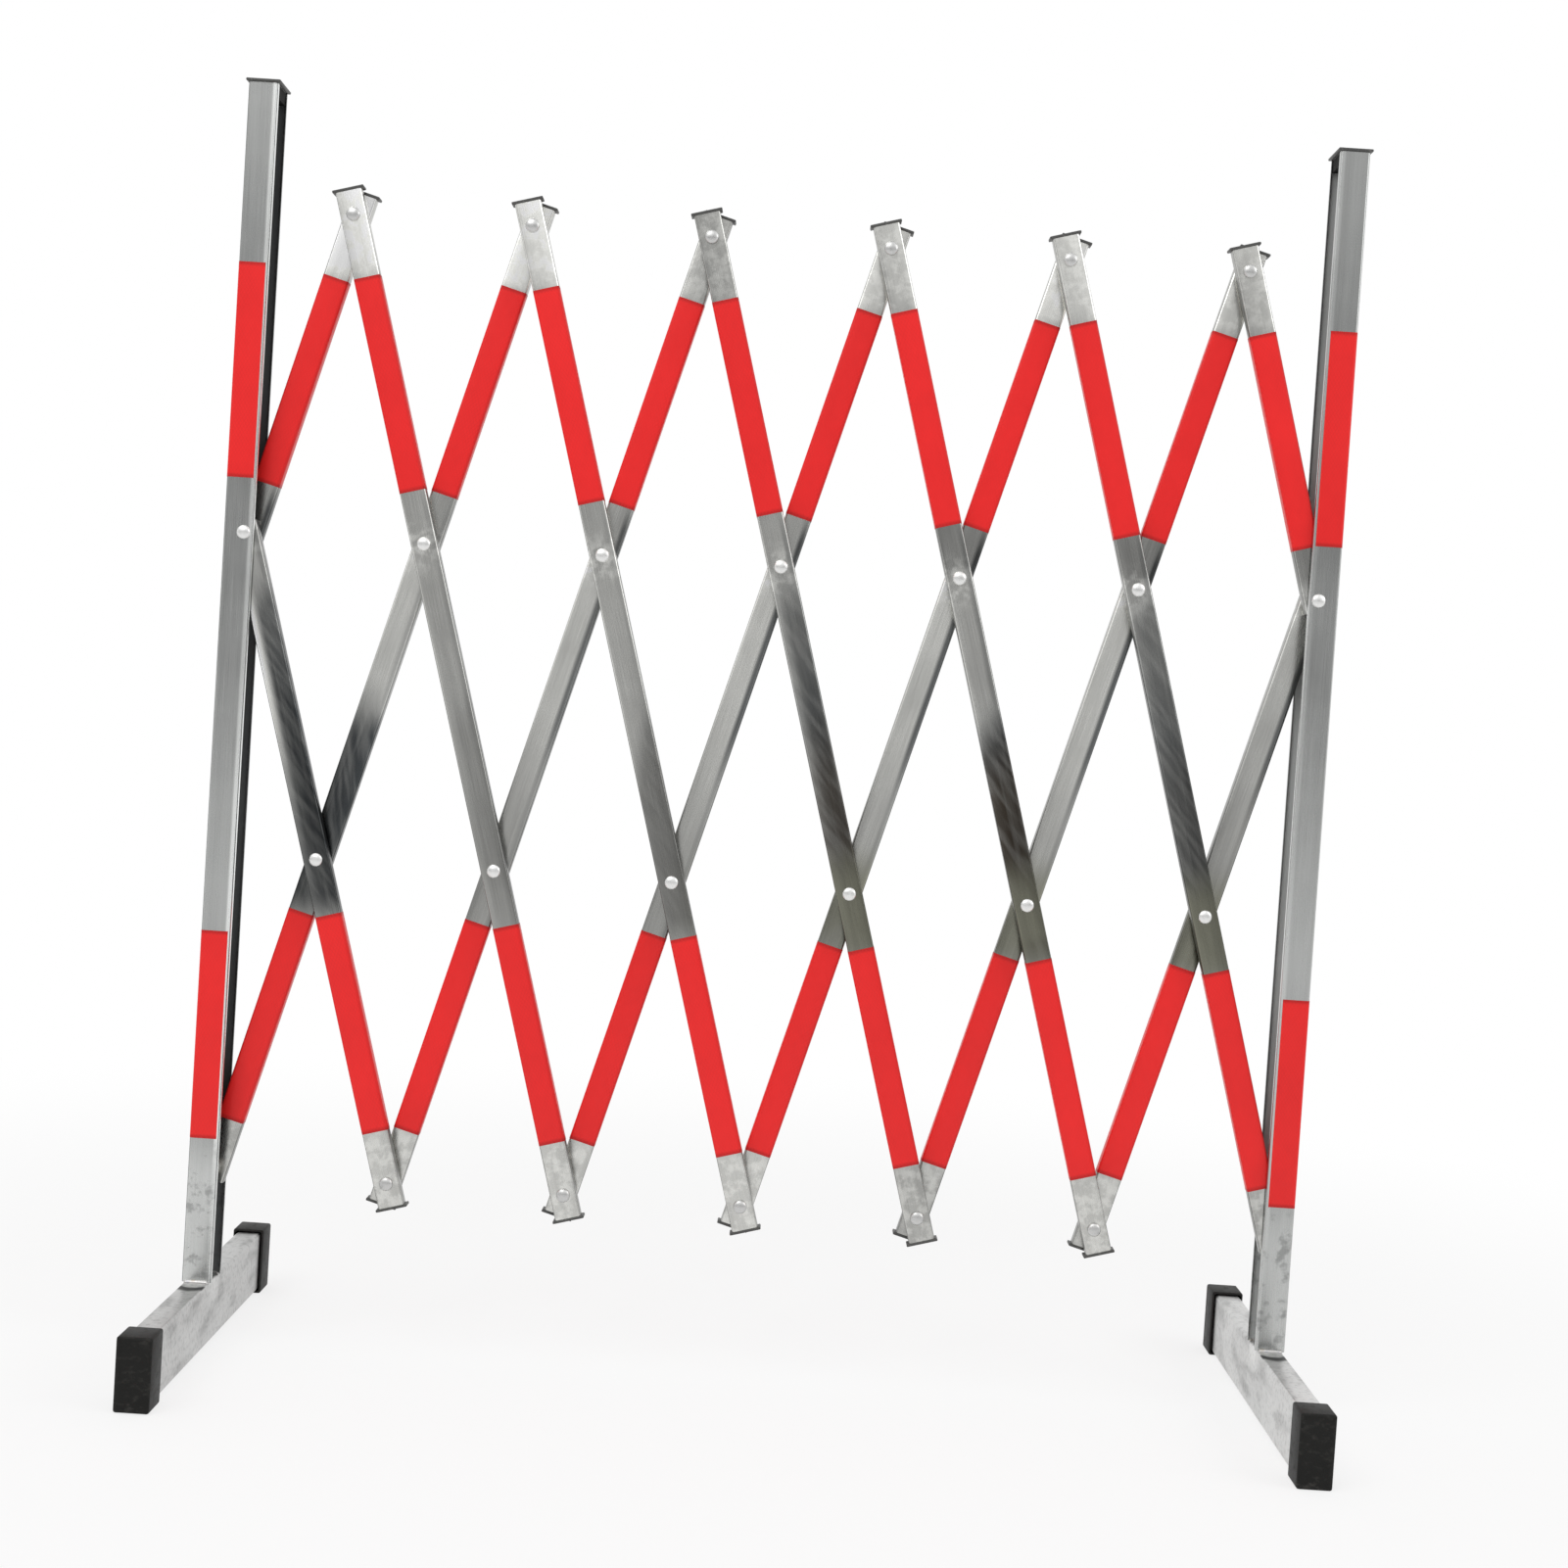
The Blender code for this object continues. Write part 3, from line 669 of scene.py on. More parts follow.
@once
def brushed_arm_steel(settings, colours):
    """Brushed tube: fine streaks along it, painted shade by one edge, painted dark reflection midway.
    """
    finish = Finish("brushed_arm_steel", {"Metallic": 1.0})
    side, edge, shift, strip = finish.marks()
    smoke, start, level, warmth = finish.marks("tones")
    drift, crown, toe, _ = finish.marks("ends")
    across, along, _ = finish.sides(finish.grain())
    grain = finish.own_grain(shift, 3.1, 7.7)
    streak = finish.noise(finish.stretch(grain, (1.0, 0.012, 1.0)), 1500)
    sweep = finish.noise(finish.stretch(grain, (1.0, 0.06, 1.0)), 130)
    place = finish.place()
    patch = finish.noise(place, 11, detail=3, roughness=0.55)
    slanted = finish.node("CombineXYZ", {0: across + along * 0.40 + shift, 1: along * 0.16})
    glint = finish.noise(slanted, 150, detail=1).ramp(0.36, 0.70)
    x, y, _ = finish.sides(place)
    rear = y.ramp(-settings.arms.layer_gap / 2, settings.arms.layer_gap / 2)

    # Edgewise runs from -1 by the left edge to 1 by the right one. Run counts segments down from
    # the upper row's pivot, so that the outer rows' pivots lie at -1 and 2, the lower row's at 1.
    edgewise = across / (settings.arms.width / 2)
    run = along / -SEGMENT
    middle_stretch = run.within(-0.06, 0.06, 0.98, 1.08)

    # Painted dark reflection, which reaches further up by one edge than by the other
    middle = run.within(-0.10, 0.04, 1.10, 1.22)
    begun = (run - start + patch.swing(0.16) + edgewise * drift).ramp(-0.06, 0.12)
    # A painted highlight along the left edge spares it the dark reflection
    left_highlight_mask = edgewise.ramp(-0.24, -0.96) * strip * run.ramp(1.05, 0.35, from_value=0.25)
    reflection_dark_share = (smoke * middle * begun * sweep.ramp(0.22, 0.55, from_value=0.78)
             * run.ramp(0.10, 0.60, from_value=0.74) * (1.0 - 0.20 * glint) * (1.0 - left_highlight_mask))
    # Painted shade in a band by the right edge
    band = (edge * edgewise.ramp(0.20, 0.56) * run.ramp(-0.20, -0.08)
            * (1.0 - run.ramp(1.72, 1.86) * 0.8) * (1.0 - 0.60 * run.ramp(0.48, 0.78)))
    olive = (run.within(0.82, 0.98, 1.14, 1.26) * x.ramp(-0.6 * PITCH, 0.3 * PITCH)
             * patch.ramp(0.30, 0.50, from_value=0.60, to_value=0.88))

    # Painted highlights on the tips, in light patches, and a painted highlight round the upper row's
    # pivot
    light_patches = finish.noise(place, 75, detail=3, roughness=0.65).ramp(0.42, 0.62).swing(0.24)
    tips = (crown + light_patches) * run.ramp(-0.76, -0.86) + (toe + light_patches) * run.ramp(1.80, 1.88)
    pivot_highlight = (finish.noise(place, 120).ramp(0.38, 0.66)
              * (run - 0.01).math("ABSOLUTE").ramp(0.10, 0.02) * (1.0 - band))
    # Painted shade, darker towards the lower row, rear arms more so, and painted light and shade above
    # the upper row, lighter in the barrier's left half than further to the right
    slope = (run.ramp(0.20, 0.95, from_value=0.24, to_value=-0.22)
             * run.within(-0.06, 0.06, 1.15, 1.35)
             - 0.20 * rear * middle_stretch * run.ramp(0.50, 0.95))
    above = (x.ramp(PITCH, 0.0, from_value=-0.18, to_value=0.14)
             * run.within(-0.70, -0.40, -0.05, 0.0))
    brightness = (0.78 + streak.swing(0.24) + sweep.swing(0.28) + patch.swing(0.20)
                  + tips + 0.50 * pivot_highlight + slope + above
                  + (level - 1.0 + 0.85 * left_highlight_mask * left_highlight_mask) * middle_stretch)
    shade = finish.blend(warmth * run.ramp(0.40, 0.70), colours.cool_shade, colours.warm_shade)
    steel = finish.blend(reflection_dark_share.math("MAXIMUM", band), colours.arm_steel, shade)
    steel = finish.blend(olive, steel, colours.olive_shade)
    # The narrow sides are painted half as bright, a painted shade
    return finish.shade({
        "Base Color": finish.tint(steel, brightness * (1.0 - 0.5 * side)),
        "Roughness": 0.26 + patch.swing(0.12) + streak.swing(0.10) + 0.05 * side,
        "Normal": finish.bump(streak, BRUSHING, 0.5),
    })


@once
def brushed_post_steel(settings, colours):
    """Brushed channel: streaks up the post, dull with painted shade inside, painted highlights on the
    lips, blotched near the foot.
    """
    posts = settings.posts
    finish = Finish("brushed_post_steel", {})
    inside, _, shift, dark = finish.marks()
    grain = finish.own_grain(shift, 2.3, 5.1)
    streak = finish.noise(finish.stretch(grain, (1.0, 0.010, 1.0)), 1300)
    sweep = finish.noise(finish.stretch(grain, (1.0, 0.05, 1.0)), 90)
    place = finish.place()
    patch = finish.noise(place, 9, detail=3, roughness=0.6)
    blotch = finish.noise(place, 55, detail=3, roughness=0.7).ramp(0.52, 0.68)

    # Heights above the floor between which the post's low and middle stretches fade in and out
    low_fading, low_end = 0.16, 0.22
    middle_heights = (0.34, 0.46, 0.74, 0.86)
    _, along, _ = finish.sides(finish.grain())
    low, middle = along.ramp(low_end, low_fading), along.within(*middle_heights)
    # The lips' painted highlight fades out round the corner, at these depths behind the open face
    fade_end, fade_start = 0.0060, 0.0032
    x, y, _ = finish.sides(place)
    open_face = RIGHT_PIVOT.x - posts.pivot_inset
    lip = x.math("ABSOLUTE").ramp(open_face + fade_end, open_face + fade_start) * (1.0 - inside)
    rear = y.ramp(0.0, posts.depth / 4)

    # The lips get a painted highlight in front, strongest on the darker post, and a painted shade at
    # the rear; the lighter post gets painted light inside
    brightness = (0.66 + streak.swing(0.20) + sweep.swing(0.26) + patch.swing(0.16)
                  + (0.16 + 0.18 * dark) * low + 0.20 * middle - 0.30 * low * blotch
                  + (0.10 + 0.70 * dark) * lip * (1.0 - rear) * (1.0 - 0.8 * low)
                  - 0.30 * lip * rear + 0.20 * inside * (1.0 - dark))
    steel = finish.blend(inside * dark, colours.post_steel, colours.cool_shade)
    return finish.shade({
        "Base Color": finish.tint(steel, brightness),
        "Metallic": 1.0 - 0.9 * inside,
        "Roughness": (0.27 + patch.swing(0.14) + streak.swing(0.10) + 0.35 * inside
                      + 0.12 * low * blotch),
        "Normal": finish.bump(streak, BRUSHING, 0.5),
    })


@once
def satin_foot_steel(settings, colours):
    """Satin box tube: mottled, whitened round the post's weld, with a dark crescent in front of the
    post.
    """
    feet, posts = settings.feet, settings.posts
    finish = Finish("satin_foot_steel", {"Metallic": 1.0})
    streak = finish.noise(finish.stretch(finish.grain(), (1.0, 0.015, 1.0)), 1100)
    place = finish.place()
    mottle = finish.noise(finish.stretch(place, (1.0, 0.32, 1.0)), 48)
    patch = finish.noise(finish.stretch(place, (1.0, 0.5, 1.0)), 14)
    speck = finish.noise(place, 200, roughness=0.6).ramp(0.46, 0.70)

    # Marks round the weld: their distance counts depths of the post from its middle, and grows
    # twice as fast across the beam as along it
    x, y, z = finish.sides(place)
    across = 2.0 * (x.math("ABSOLUTE") + (LEFT_PIVOT.x + post_middle(posts)))
    distance = (across * across + y * y).math("SQRT") / posts.depth + mottle.swing(0.2)
    whitened = distance.ramp(1.0, 0.5) * z.ramp(feet.height / 2, feet.height)
    crescent = (distance.within(0.90, 1.025, 1.125, 1.35)
                * y.ramp(0.0, -posts.depth / 2)
                * z.ramp(beam_top(feet) - feet.corner / 2, beam_top(feet) - GAP))
    # Mottled stain of the steel, and the left foot painted darker, a painted shade
    stain_and_shade = 0.24 * mottle.ramp(0.44, 0.74) + 0.16 * x.ramp(PITCH, -PITCH)

    brightness = (0.84 + streak.swing(0.14) + patch.swing(0.36) + 0.24 * whitened
                  - stain_and_shade - 0.16 * speck) * (1.0 - 0.62 * crescent)
    steel = finish.blend(0.8 * crescent, colours.foot_steel, colours.cool_shade)
    return finish.shade({
        "Base Color": finish.tint(steel, brightness),
        "Roughness": 0.38 + mottle.swing(0.10) + 0.16 * whitened + 0.14 * crescent,
        "Normal": finish.bump(streak + 0.5 * mottle, BRUSHING, 0.4),
    })


@once
def red_reflective_tape(settings, colours):
    """Tape with a fine prismatic lattice of cells, worn and darker at a band's ends."""
    finish = Finish("red_reflective_tape", {
        "Metallic": 0.0, "Specular IOR Level": 0.25, "Coat Roughness": 0.18, "Coat IOR": 1.4,
    })
    edged, share_along, shift, _ = finish.marks()
    grain = finish.grain()
    across, along, _ = finish.sides(grain)
    # Width of a cell, slope of its sides, and a count that keeps the cells' numbers above zero
    cell, slope, first_cell = 0.0032, math.tan(math.radians(30)), 40.0
    lines = []
    for leaning in (slope, -slope):
        wave = ((across + along * leaning) / cell + first_cell).math("FRACT")
        lines.append((wave - 0.5).math("ABSOLUTE").ramp(0.40, 0.49))
    cells = lines[0].math("MAXIMUM", lines[1])
    patch = finish.noise(finish.place(), 14, detail=3, roughness=0.6)
    wrinkle = finish.noise(finish.stretch(grain, (1.0, 0.35, 1.0)), 240)
    drawn_out = finish.stretch(grain, (1.0, 0.25, 1.0))
    scuff = finish.noise(drawn_out, 420, detail=3, roughness=0.7).ramp(0.66, 0.76)
    ends = 1.0 - share_along.within(0.004, 0.024, 0.976, 0.996)
    # A painted shade by an arm's right edge
    dark_edge = edged * (across / (settings.arms.width / 2)).ramp(0.20, 0.44)
    brightness = (1.0 + patch.swing(0.22) + wrinkle.swing(0.06) - 0.10 * cells - 0.34 * ends
                  - 0.06 * shift - 0.16 * dark_edge)
    red = finish.blend(0.16 * scuff, colours.red_tape, colours.tape_scuff)
    return finish.shade({
        "Base Color": finish.tint(red, brightness),
        "Roughness": 0.38 + patch.swing(0.14) + 0.14 * scuff + 0.08 * ends,
        "Coat Weight": 0.16 - 0.1 * scuff,
        "Normal": finish.bump(wrinkle - 0.5 * cells, 0.00012, 0.45),
    })


@once
def polished_fastener_steel(settings, colours):
    """Polished heads with faint turning marks; the marked ones are painted darker, a painted shade."""
    finish = Finish("polished_fastener_steel", {"Metallic": 1.0})
    head_shade, _, _, _ = finish.marks()
    place = finish.place()
    patch = finish.noise(place, 260)
    rings = finish.noise(finish.stretch(place, (1.0, 9.0, 1.0)), 900)
    brightness = (0.95 + patch.swing(0.14) + rings.swing(0.08)) * (1.0 - 0.28 * head_shade)
    return finish.shade({
        "Base Color": finish.tint(colours.fastener, brightness),
        "Roughness": 0.36 + patch.swing(0.16) + 0.06 * rings,
        "Normal": finish.bump(rings, 0.00002, 0.2),
    })


@once
def grey_moulded_plastic(settings, colours):
    """Caps and end plugs: fine moulded grain, lighter in patches, painted shade inside a post."""
    finish = Finish("grey_moulded_plastic", {"Metallic": 0.0, "Specular IOR Level": 0.35})
    place = finish.place()
    skin = finish.noise(place, 1900)
    patch = finish.noise(place, 60, detail=3, roughness=0.6)
    light_patches = finish.noise(place, 210, detail=3, roughness=0.7).ramp(0.56, 0.70)
    x, _, z = finish.sides(place)
    # Pieces below a cap's plate near a post, inside its channel, get a painted shade
    under_plate = settings.posts.height - settings.posts.cap_thickness
    sunk = z.ramp(under_plate - GAP, under_plate - 5 * GAP) * x.math("ABSOLUTE").ramp(
        RIGHT_PIVOT.x - PITCH / 4, RIGHT_PIVOT.x - PITCH / 8)
    brightness = (0.92 + patch.swing(0.40) + 0.75 * light_patches) * (1.0 - 0.85 * sunk)
    return finish.shade({
        "Base Color": finish.tint(colours.plastic, brightness),
        "Roughness": 0.46 + patch.swing(0.16) + 0.10 * light_patches + 0.5 * sunk,
        "Normal": finish.bump(skin + 0.6 * patch, 0.00010, 0.35),
    })


@once
def black_shoe_rubber(settings, colours):
    """Moulded rubber: leathery grain and dusty scuffs, more of them towards the floor."""
    finish = Finish("black_shoe_rubber", {"Metallic": 0.0, "Specular IOR Level": 0.16})
    place = finish.place()
    skin = finish.noise(place, 1300, detail=3)
    dimple = finish.node("TexVoronoi", {"Vector": place, "Scale": 620})
    patch = finish.noise(place, 42, detail=3, roughness=0.6)
    flattened = finish.stretch(place, (1.0, 1.0, 1.6))
    scuff = finish.noise(flattened, 95, detail=4, roughness=0.7).ramp(0.50, 0.72)
    _, _, z = finish.sides(place)
    dusty_height = 0.014
    dust = 0.34 + 0.4 * z.ramp(dusty_height, 0.0)
    black = finish.blend(scuff * dust, colours.rubber, colours.shoe_dust)
    return finish.shade({
        "Base Color": finish.tint(black, 0.9 + patch.swing(0.6)),
        "Roughness": 0.50 + patch.swing(0.2) + 0.2 * scuff,
        "Normal": finish.bump(skin * 0.6 + dimple, 0.00025, 0.4),
    })


@once
def natural_nylon(settings, colours):
    """Slider bushes: off-white, with grime in patches."""
    finish = Finish("natural_nylon", {"Metallic": 0.0})
    place = finish.place()
    patch = finish.noise(place, 160, detail=3, roughness=0.6)
    grime = finish.noise(place, 420, detail=3, roughness=0.7).ramp(0.52, 0.72)
    clean = finish.tint(colours.nylon, 0.95 + 0.1 * patch)
    return finish.shade({
        "Base Color": finish.blend(0.35 * grime, clean, colours.nylon_grime),
        "Roughness": 0.38 + patch.swing(0.2) + 0.15 * grime,
        "Normal": finish.bump(patch, 0.00005, 0.3),
    })


@once
def weld_bead_steel(settings, colours):
    """Weld beads: silvery ripples with straw and blue heat tints."""
    finish = Finish("weld_bead_steel", {"Metallic": 1.0})
    place = finish.place()
    ripple = finish.noise(finish.stretch(place, (3.0, 1.0, 1.0)), 420)
    heat = finish.noise(place, 95)
    steel = finish.blend(0.45 * heat.ramp(0.50, 0.62), colours.weld, colours.straw_heat)
    steel = finish.blend(0.35 * heat.ramp(0.44, 0.34), steel, colours.blue_heat)
    return finish.shade({
        "Base Color": finish.tint(steel, 0.92 + ripple.swing(0.3)),
        "Roughness": 0.40 + ripple.swing(0.22),
        "Normal": finish.bump(ripple, 0.0003, 0.6),
    })


def pale_floor(look):
    """Pale floor that reads white to the camera, and keeps the object's shadow near the middle."""
    finish = Finish("pale_floor", {"Metallic": 0.0, "Roughness": 0.8, "Specular IOR Level": 0.2})
    place = finish.place()
    x, y, _ = finish.sides(place)
    tone = 0.99 + 0.02 * finish.noise(place, 30, detail=3)
    finish.shade({"Base Color": finish.tint(look.floor, tone)})
    # The floor glows less where the shadow falls, and fully beyond it
    shadow_reach, white_from = 0.7, 1.9
    distance = (x * x + y * y).math("SQRT")
    path = finish.node("LightPath")
    seen = finish.seen(path).math("MAXIMUM", path.also("Is Glossy Ray"))
    share_of_glow = seen * distance.ramp(shadow_reach, white_from, from_value=0.76)
    glow = finish.node("Emission", {"Color": (1, 1, 1, 1), "Strength": 1.0})
    lit = Socket(finish, finish.shader.outputs[0])
    mixed = finish.node("MixShader", {0: share_of_glow, 1: lit, 2: glow})
    finish.feed(finish.tree.nodes["Material Output"].inputs["Surface"], mixed)
    return finish.material


class PieceOperator:
    """What the operators share."""

    bl_options = {"REGISTER", "UNDO"}


# Arms

class Tones(NamedTuple):
    """Painted reflection, light and shade on the steel of an arm between its middle rows."""

    smoke: float = 0.0  # how much painted dark reflection it has
    start: float = 0.0  # where the painted dark reflection begins, in segments below the upper row
    level: float = 1.0  # how bright the steel is painted; rear arms get more, a painted light against the front ones' shade
    warmth: float = 0.0  # how brown the painted dark reflection is
    strip: float = 0.0  # how far a painted highlight spares its left edge the dark reflection
    drift: float = 0.04  # how much further up the painted dark reflection begins by its right edge
    edge_band: float = 0.38  # how dark the painted shade in the band by that edge is


class Arm:
    """One arm of the lattice: its layer, its number and the rows of pivots that it crosses."""

    # The rows that each kind crosses, and whether its upper and its lower end are free
    KINDS = {
        "whole": (("top", "upper", "lower", "bottom"), True, True),
        "sliding": (("top", "upper", "lower", "bottom"), True, False),
        "long": (("upper", "lower", "bottom"), False, True),
        "short": (("top", "upper"), True, False),
    }
    TONES = {
        "front": (
            Tones(smoke=1.00, start=0.14, strip=1.0),
            Tones(smoke=0.05, level=0.94, warmth=0.3, edge_band=0.24),
            Tones(smoke=0.50, start=0.52, warmth=0.5, drift=0.12, edge_band=0.16),
            Tones(smoke=0.92, start=0.04, warmth=0.9, strip=0.4, drift=-0.10),
            Tones(smoke=1.00, start=0.42, level=0.98, warmth=1.0, strip=0.1),
            Tones(smoke=0.88, warmth=0.2, strip=0.1),
            Tones(smoke=0.40, warmth=0.2),
        ),
        "rear": (
            Tones(smoke=0.20, drift=-0.12, edge_band=0.88),
            Tones(smoke=1.00, start=0.48, level=1.36, drift=-0.07, edge_band=0.32),
            Tones(level=1.36, drift=-0.12, edge_band=0.80),
            Tones(level=1.38, drift=-0.12, edge_band=0.88),
            Tones(level=1.38, drift=-0.12, edge_band=0.88),
            Tones(level=1.40, drift=-0.12, edge_band=0.88),
            Tones(smoke=0.12, level=1.30, warmth=0.3, drift=-0.12, edge_band=0.84),
        ),
    }
    # How much painted highlight brightens the steel at each free tip, from the left, and how much more
    # painted light a rear arm gets, against the shade of the front one
    TOP_TIPS = (0.84, 0.80, 0.08, 0.44, 0.64, 0.34)
    BOTTOM_TIPS = (0.20, 0.22, 0.24, 0.00, 0.16)
    REAR_LIFT = 0.14
    # An arm's streaks are moved over their pattern by one of thirteen shifts: by so many more than
    # on the arm before it, and by so many more in the rear layer than in the front one
    SHIFTS, NEXT_SHIFT, REAR_SHIFT = 13, 7, 3

    def __init__(self, layer, number):
        rear = layer == "rear"
        self.layer, self.number = layer, number
        self.node = f"{layer}_arm_{number}"
        count = PITCHES - number if rear else number
        self.kind = {0: "long", PITCHES - 1: "sliding", PITCHES: "short"}.get(count, "whole")
        self.rows, self.free_top, self.free_bottom = self.KINDS[self.kind]
        self.tones = self.TONES[layer][number]
        shifts = number * self.NEXT_SHIFT + (self.REAR_SHIFT if rear else 0)
        self.shift = shifts % self.SHIFTS / self.SHIFTS
        # Where its free tips stand in their rows, counted from the left
        top, bottom = (number, number - 2) if rear else (number - 1, number)
        lift = self.REAR_LIFT if rear else 0
        self.crown = self.TOP_TIPS[top] + lift if self.free_top else 0
        self.toe = self.BOTTOM_TIPS[bottom] if self.free_bottom else 0

    def ends(self, arms):
        """Lowest and highest point of the upright arm, over its plugs."""
        low_end = arms.free_end if self.free_bottom else arms.post_end
        high_end = arms.free_end if self.free_top else arms.post_end
        return ROWS[self.rows[-1]][0] * SEGMENT - low_end, ROWS[self.rows[0]][0] * SEGMENT + high_end

    def placing(self, arms):
        side = -1 if self.layer == "front" else 1
        place = pivot("upper", self.number) + side * layer_middle(arms) * Y
        return Matrix.Translation(place) @ Matrix.Rotation(side * LEAN, 4, "Y")

    def marks(self):
        """What the finish of the tube reads."""
        tones = self.tones
        return {
            "marks": lambda face, place: (side_of(face), tones.edge_band, self.shift, tones.strip),
            "tones": (tones.smoke, tones.start, tones.level, tones.warmth),
            "ends": (tones.drift, self.crown, self.toe, 1),
        }


ARMS = [Arm(layer, number) for layer in ("front", "rear") for number in range(PITCHES + 1)]


def flat_tube(name, width, thickness, low, high, corner):
    """Open upright tube of a flat oblong section with rounded corners, before its wall."""
    return add_shell(
        name, (-width / 2, -thickness / 2, low), (width / 2, thickness / 2, high),
        (Z, -Z), running(Z), corner, ARM_SEGMENTS,
    )


def side_of(face):
    """1 on an arm's narrow sides and 0 elsewhere."""
    return 1.0 if abs(face.normal.x) > SIDE_FACET else 0.0


def band_marks(ends, shift, edged):
    """What the tape's finish reads on an upright band: also how far along it a point lies."""
    low, high = ends
    return {"marks": lambda face, place: (edged, (place.z - low) / (high - low), shift, 1)}


class BARRIER_OT_arm_tubes(PieceOperator, bpy.types.Operator):
    """Add the fourteen flat tubes of the lattice"""

    bl_idname = "barrier.arm_tubes"
    bl_label = "Arm tubes"

    # How fast the grain goes on round a corner, so that the narrow sides are streaked too
    SIDE_GRAIN = 0.35

    def model(self, kind, arms, pins):
        like = next(arm for arm in ARMS if arm.kind == kind)
        low, high = like.ends(arms)
        low += arms.plug_thickness if like.free_bottom else 0
        high -= arms.plug_thickness if like.free_top else 0
        tube = flat_tube(f"{kind}_tube", arms.width, arms.thickness, low, high, arms.corner)
        add_wall(tube, arms.wall)
        heights = [ROWS[row][0] * SEGMENT for row in like.rows]
        drill(tube, heights, pins.pin + GAP, arms.thickness)
        smooth(tube)
        lay_grain(tube, X + self.SIDE_GRAIN * Y, Z)
        return tube

    def execute(self, context):
        arms, pins = context.scene.barrier.arms, context.scene.barrier.fasteners
        for kind in Arm.KINDS:
            with Model(self.model(kind, arms, pins), brushed_arm_steel(), "arm_steel") as model:
                for arm in (arm for arm in ARMS if arm.kind == kind):
                    model.place(f"{arm.node}_tube", arm.node, arm.placing(arms), arm.marks())
        return {"FINISHED"}


class BARRIER_OT_end_plugs(PieceOperator, bpy.types.Operator):
    """Add the flanged plugs of the arms' free ends"""

    bl_idname = "barrier.end_plugs"
    bl_label = "End plugs"

    # Rim round the flange's sunk face, and its ledge round the insert
    RIM, SUNK, LEDGE = 0.0016, 0.0004, 0.0012
    # What is left of the sunk face's and of the insert's section at its end
    FACE_SHARES, TAPER_SHARES = (0.97, 0.94), (0.94, 0.90)

    def model(self, arms):
        """Plug whose flange's outer face lies at z = 0, with its insert below."""
        half_width = arms.width / 2 + arms.plug_overhang
        half_depth = layer_middle(arms) - GAP
        wall = arms.wall + GAP
        plug = add_block(
            "end_plug", (-half_width, -half_depth, -arms.plug_thickness), (half_width, half_depth, 0))
        with Editing(plug) as work:
            work.round_edges(every, arms.plug_edge, EDGE_SEGMENTS)
            work.inset(self.RIM, Z)
            work.extrude(z=-self.SUNK)
            work.resize(*self.FACE_SHARES, 1, (0, 0, -self.SUNK))
            work.draw_stem(
                (half_width - arms.plug_edge, half_depth - arms.plug_edge),
                (arms.width / 2 - wall, arms.thickness / 2 - wall),
                self.LEDGE, arms.plug_insert, self.TAPER_SHARES, -arms.plug_thickness * Z)
        smooth(plug)
        return plug

    def execute(self, context):
        arms = context.scene.barrier.arms
        with Model(self.model(arms), grey_moulded_plastic(), "plastic_cap") as model:
            for arm in ARMS:
                low, high = arm.ends(arms)
                if arm.free_top:
                    tip = Matrix.Translation((0, 0, high))
                    model.place(f"{arm.node}_upper_plug", arm.node, arm.placing(arms) @ tip)
                if arm.free_bottom:
                    tip = Matrix.Translation((0, 0, low)) @ Matrix.Rotation(math.pi, 4, "X")
                    model.place(f"{arm.node}_lower_plug", arm.node, arm.placing(arms) @ tip)
        return {"FINISHED"}


class BARRIER_OT_arm_tape(PieceOperator, bpy.types.Operator):
    """Wrap the bands of red tape round the arms"""

    bl_idname = "barrier.arm_tape"
    bl_label = "Arm tape"

    # Shares of the lap's width to the left and to the right of the arm's middle
    LAP_SHARES = (-0.35, 0.65)

    def model(self, name, band, arms, tape):
        """Sleeve round an upright arm, with the lap of its ends at the rear."""
        skin = tape.thickness
        left, right = (share_of_lap * tape.lap_width for share_of_lap in self.LAP_SHARES)
        sleeve = flat_tube(
            name, arms.width + 2 * skin, arms.thickness + 2 * skin, *band, arms.corner + skin)
        with Editing(sleeve) as work:
            for x in (left, right):
                bpy.ops.mesh.select_all(action="SELECT")
                bpy.ops.mesh.bisect(plane_co=(x, 0, 0), plane_no=X)
            rear = facing(Y)
            work.pick("FACE", lambda face: rear(face) and left < face.calc_center_median().x < right)
            work.move(y=tape.lap)
        add_wall(sleeve, skin - TAPE_GAP)
        smooth(sleeve)
        lay_grain(sleeve, X + Y, Z)
        return sleeve

    def execute(self, context):
        arms, tape = context.scene.barrier.arms, context.scene.barrier.tape
        for row, band in (("top", top_band(tape)), ("bottom", bottom_band(tape))):
            sleeve = self.model(f"{row}_tape", band, arms, tape)
            with Model(sleeve, red_reflective_tape(), "red_tape") as model:
                for arm in (arm for arm in ARMS if row in arm.rows):
                    model.place(f"{arm.node}_{row}_tape", arm.node, arm.placing(arms),
                                band_marks(band, arm.shift, 1))
        return {"FINISHED"}


# Fastenings

# Half length of the drill for nuts and bushes, and sides of turned pieces
DRILL_REACH = 0.05
TURNED_SIDES = 32
# Bevel of turned edges, and straight rim, small flat crown and steps of a domed head
BEVEL = 0.0002
HEAD_RIM = 0.0005
HEAD_CROWN = math.radians(6)
HEAD_STEPS = 7


def dome(pins, seat):
    """Stations of a domed head that stands forward of its seat, from crown to rim."""
    stations = []
    for step in range(HEAD_STEPS):
        angle = HEAD_CROWN + (math.pi / 2 - HEAD_CROWN) * step / HEAD_STEPS
        height = HEAD_RIM + (pins.head_height - HEAD_RIM) * math.cos(angle)
        stations.append((pins.head * math.sin(angle), seat - height))
    rim = [(pins.head, seat - HEAD_RIM), (pins.head, seat - BEVEL / 2), (pins.head - BEVEL, seat)]
    return stations + rim


def ring(pins, front, rear, radius):
    """Stations of a ring on the shank."""
    return [
        (pins.pin, front), (radius - BEVEL, front), (radius, front + BEVEL),
        (radius, rear - BEVEL), (radius - BEVEL, rear), (pins.pin, rear),
    ]


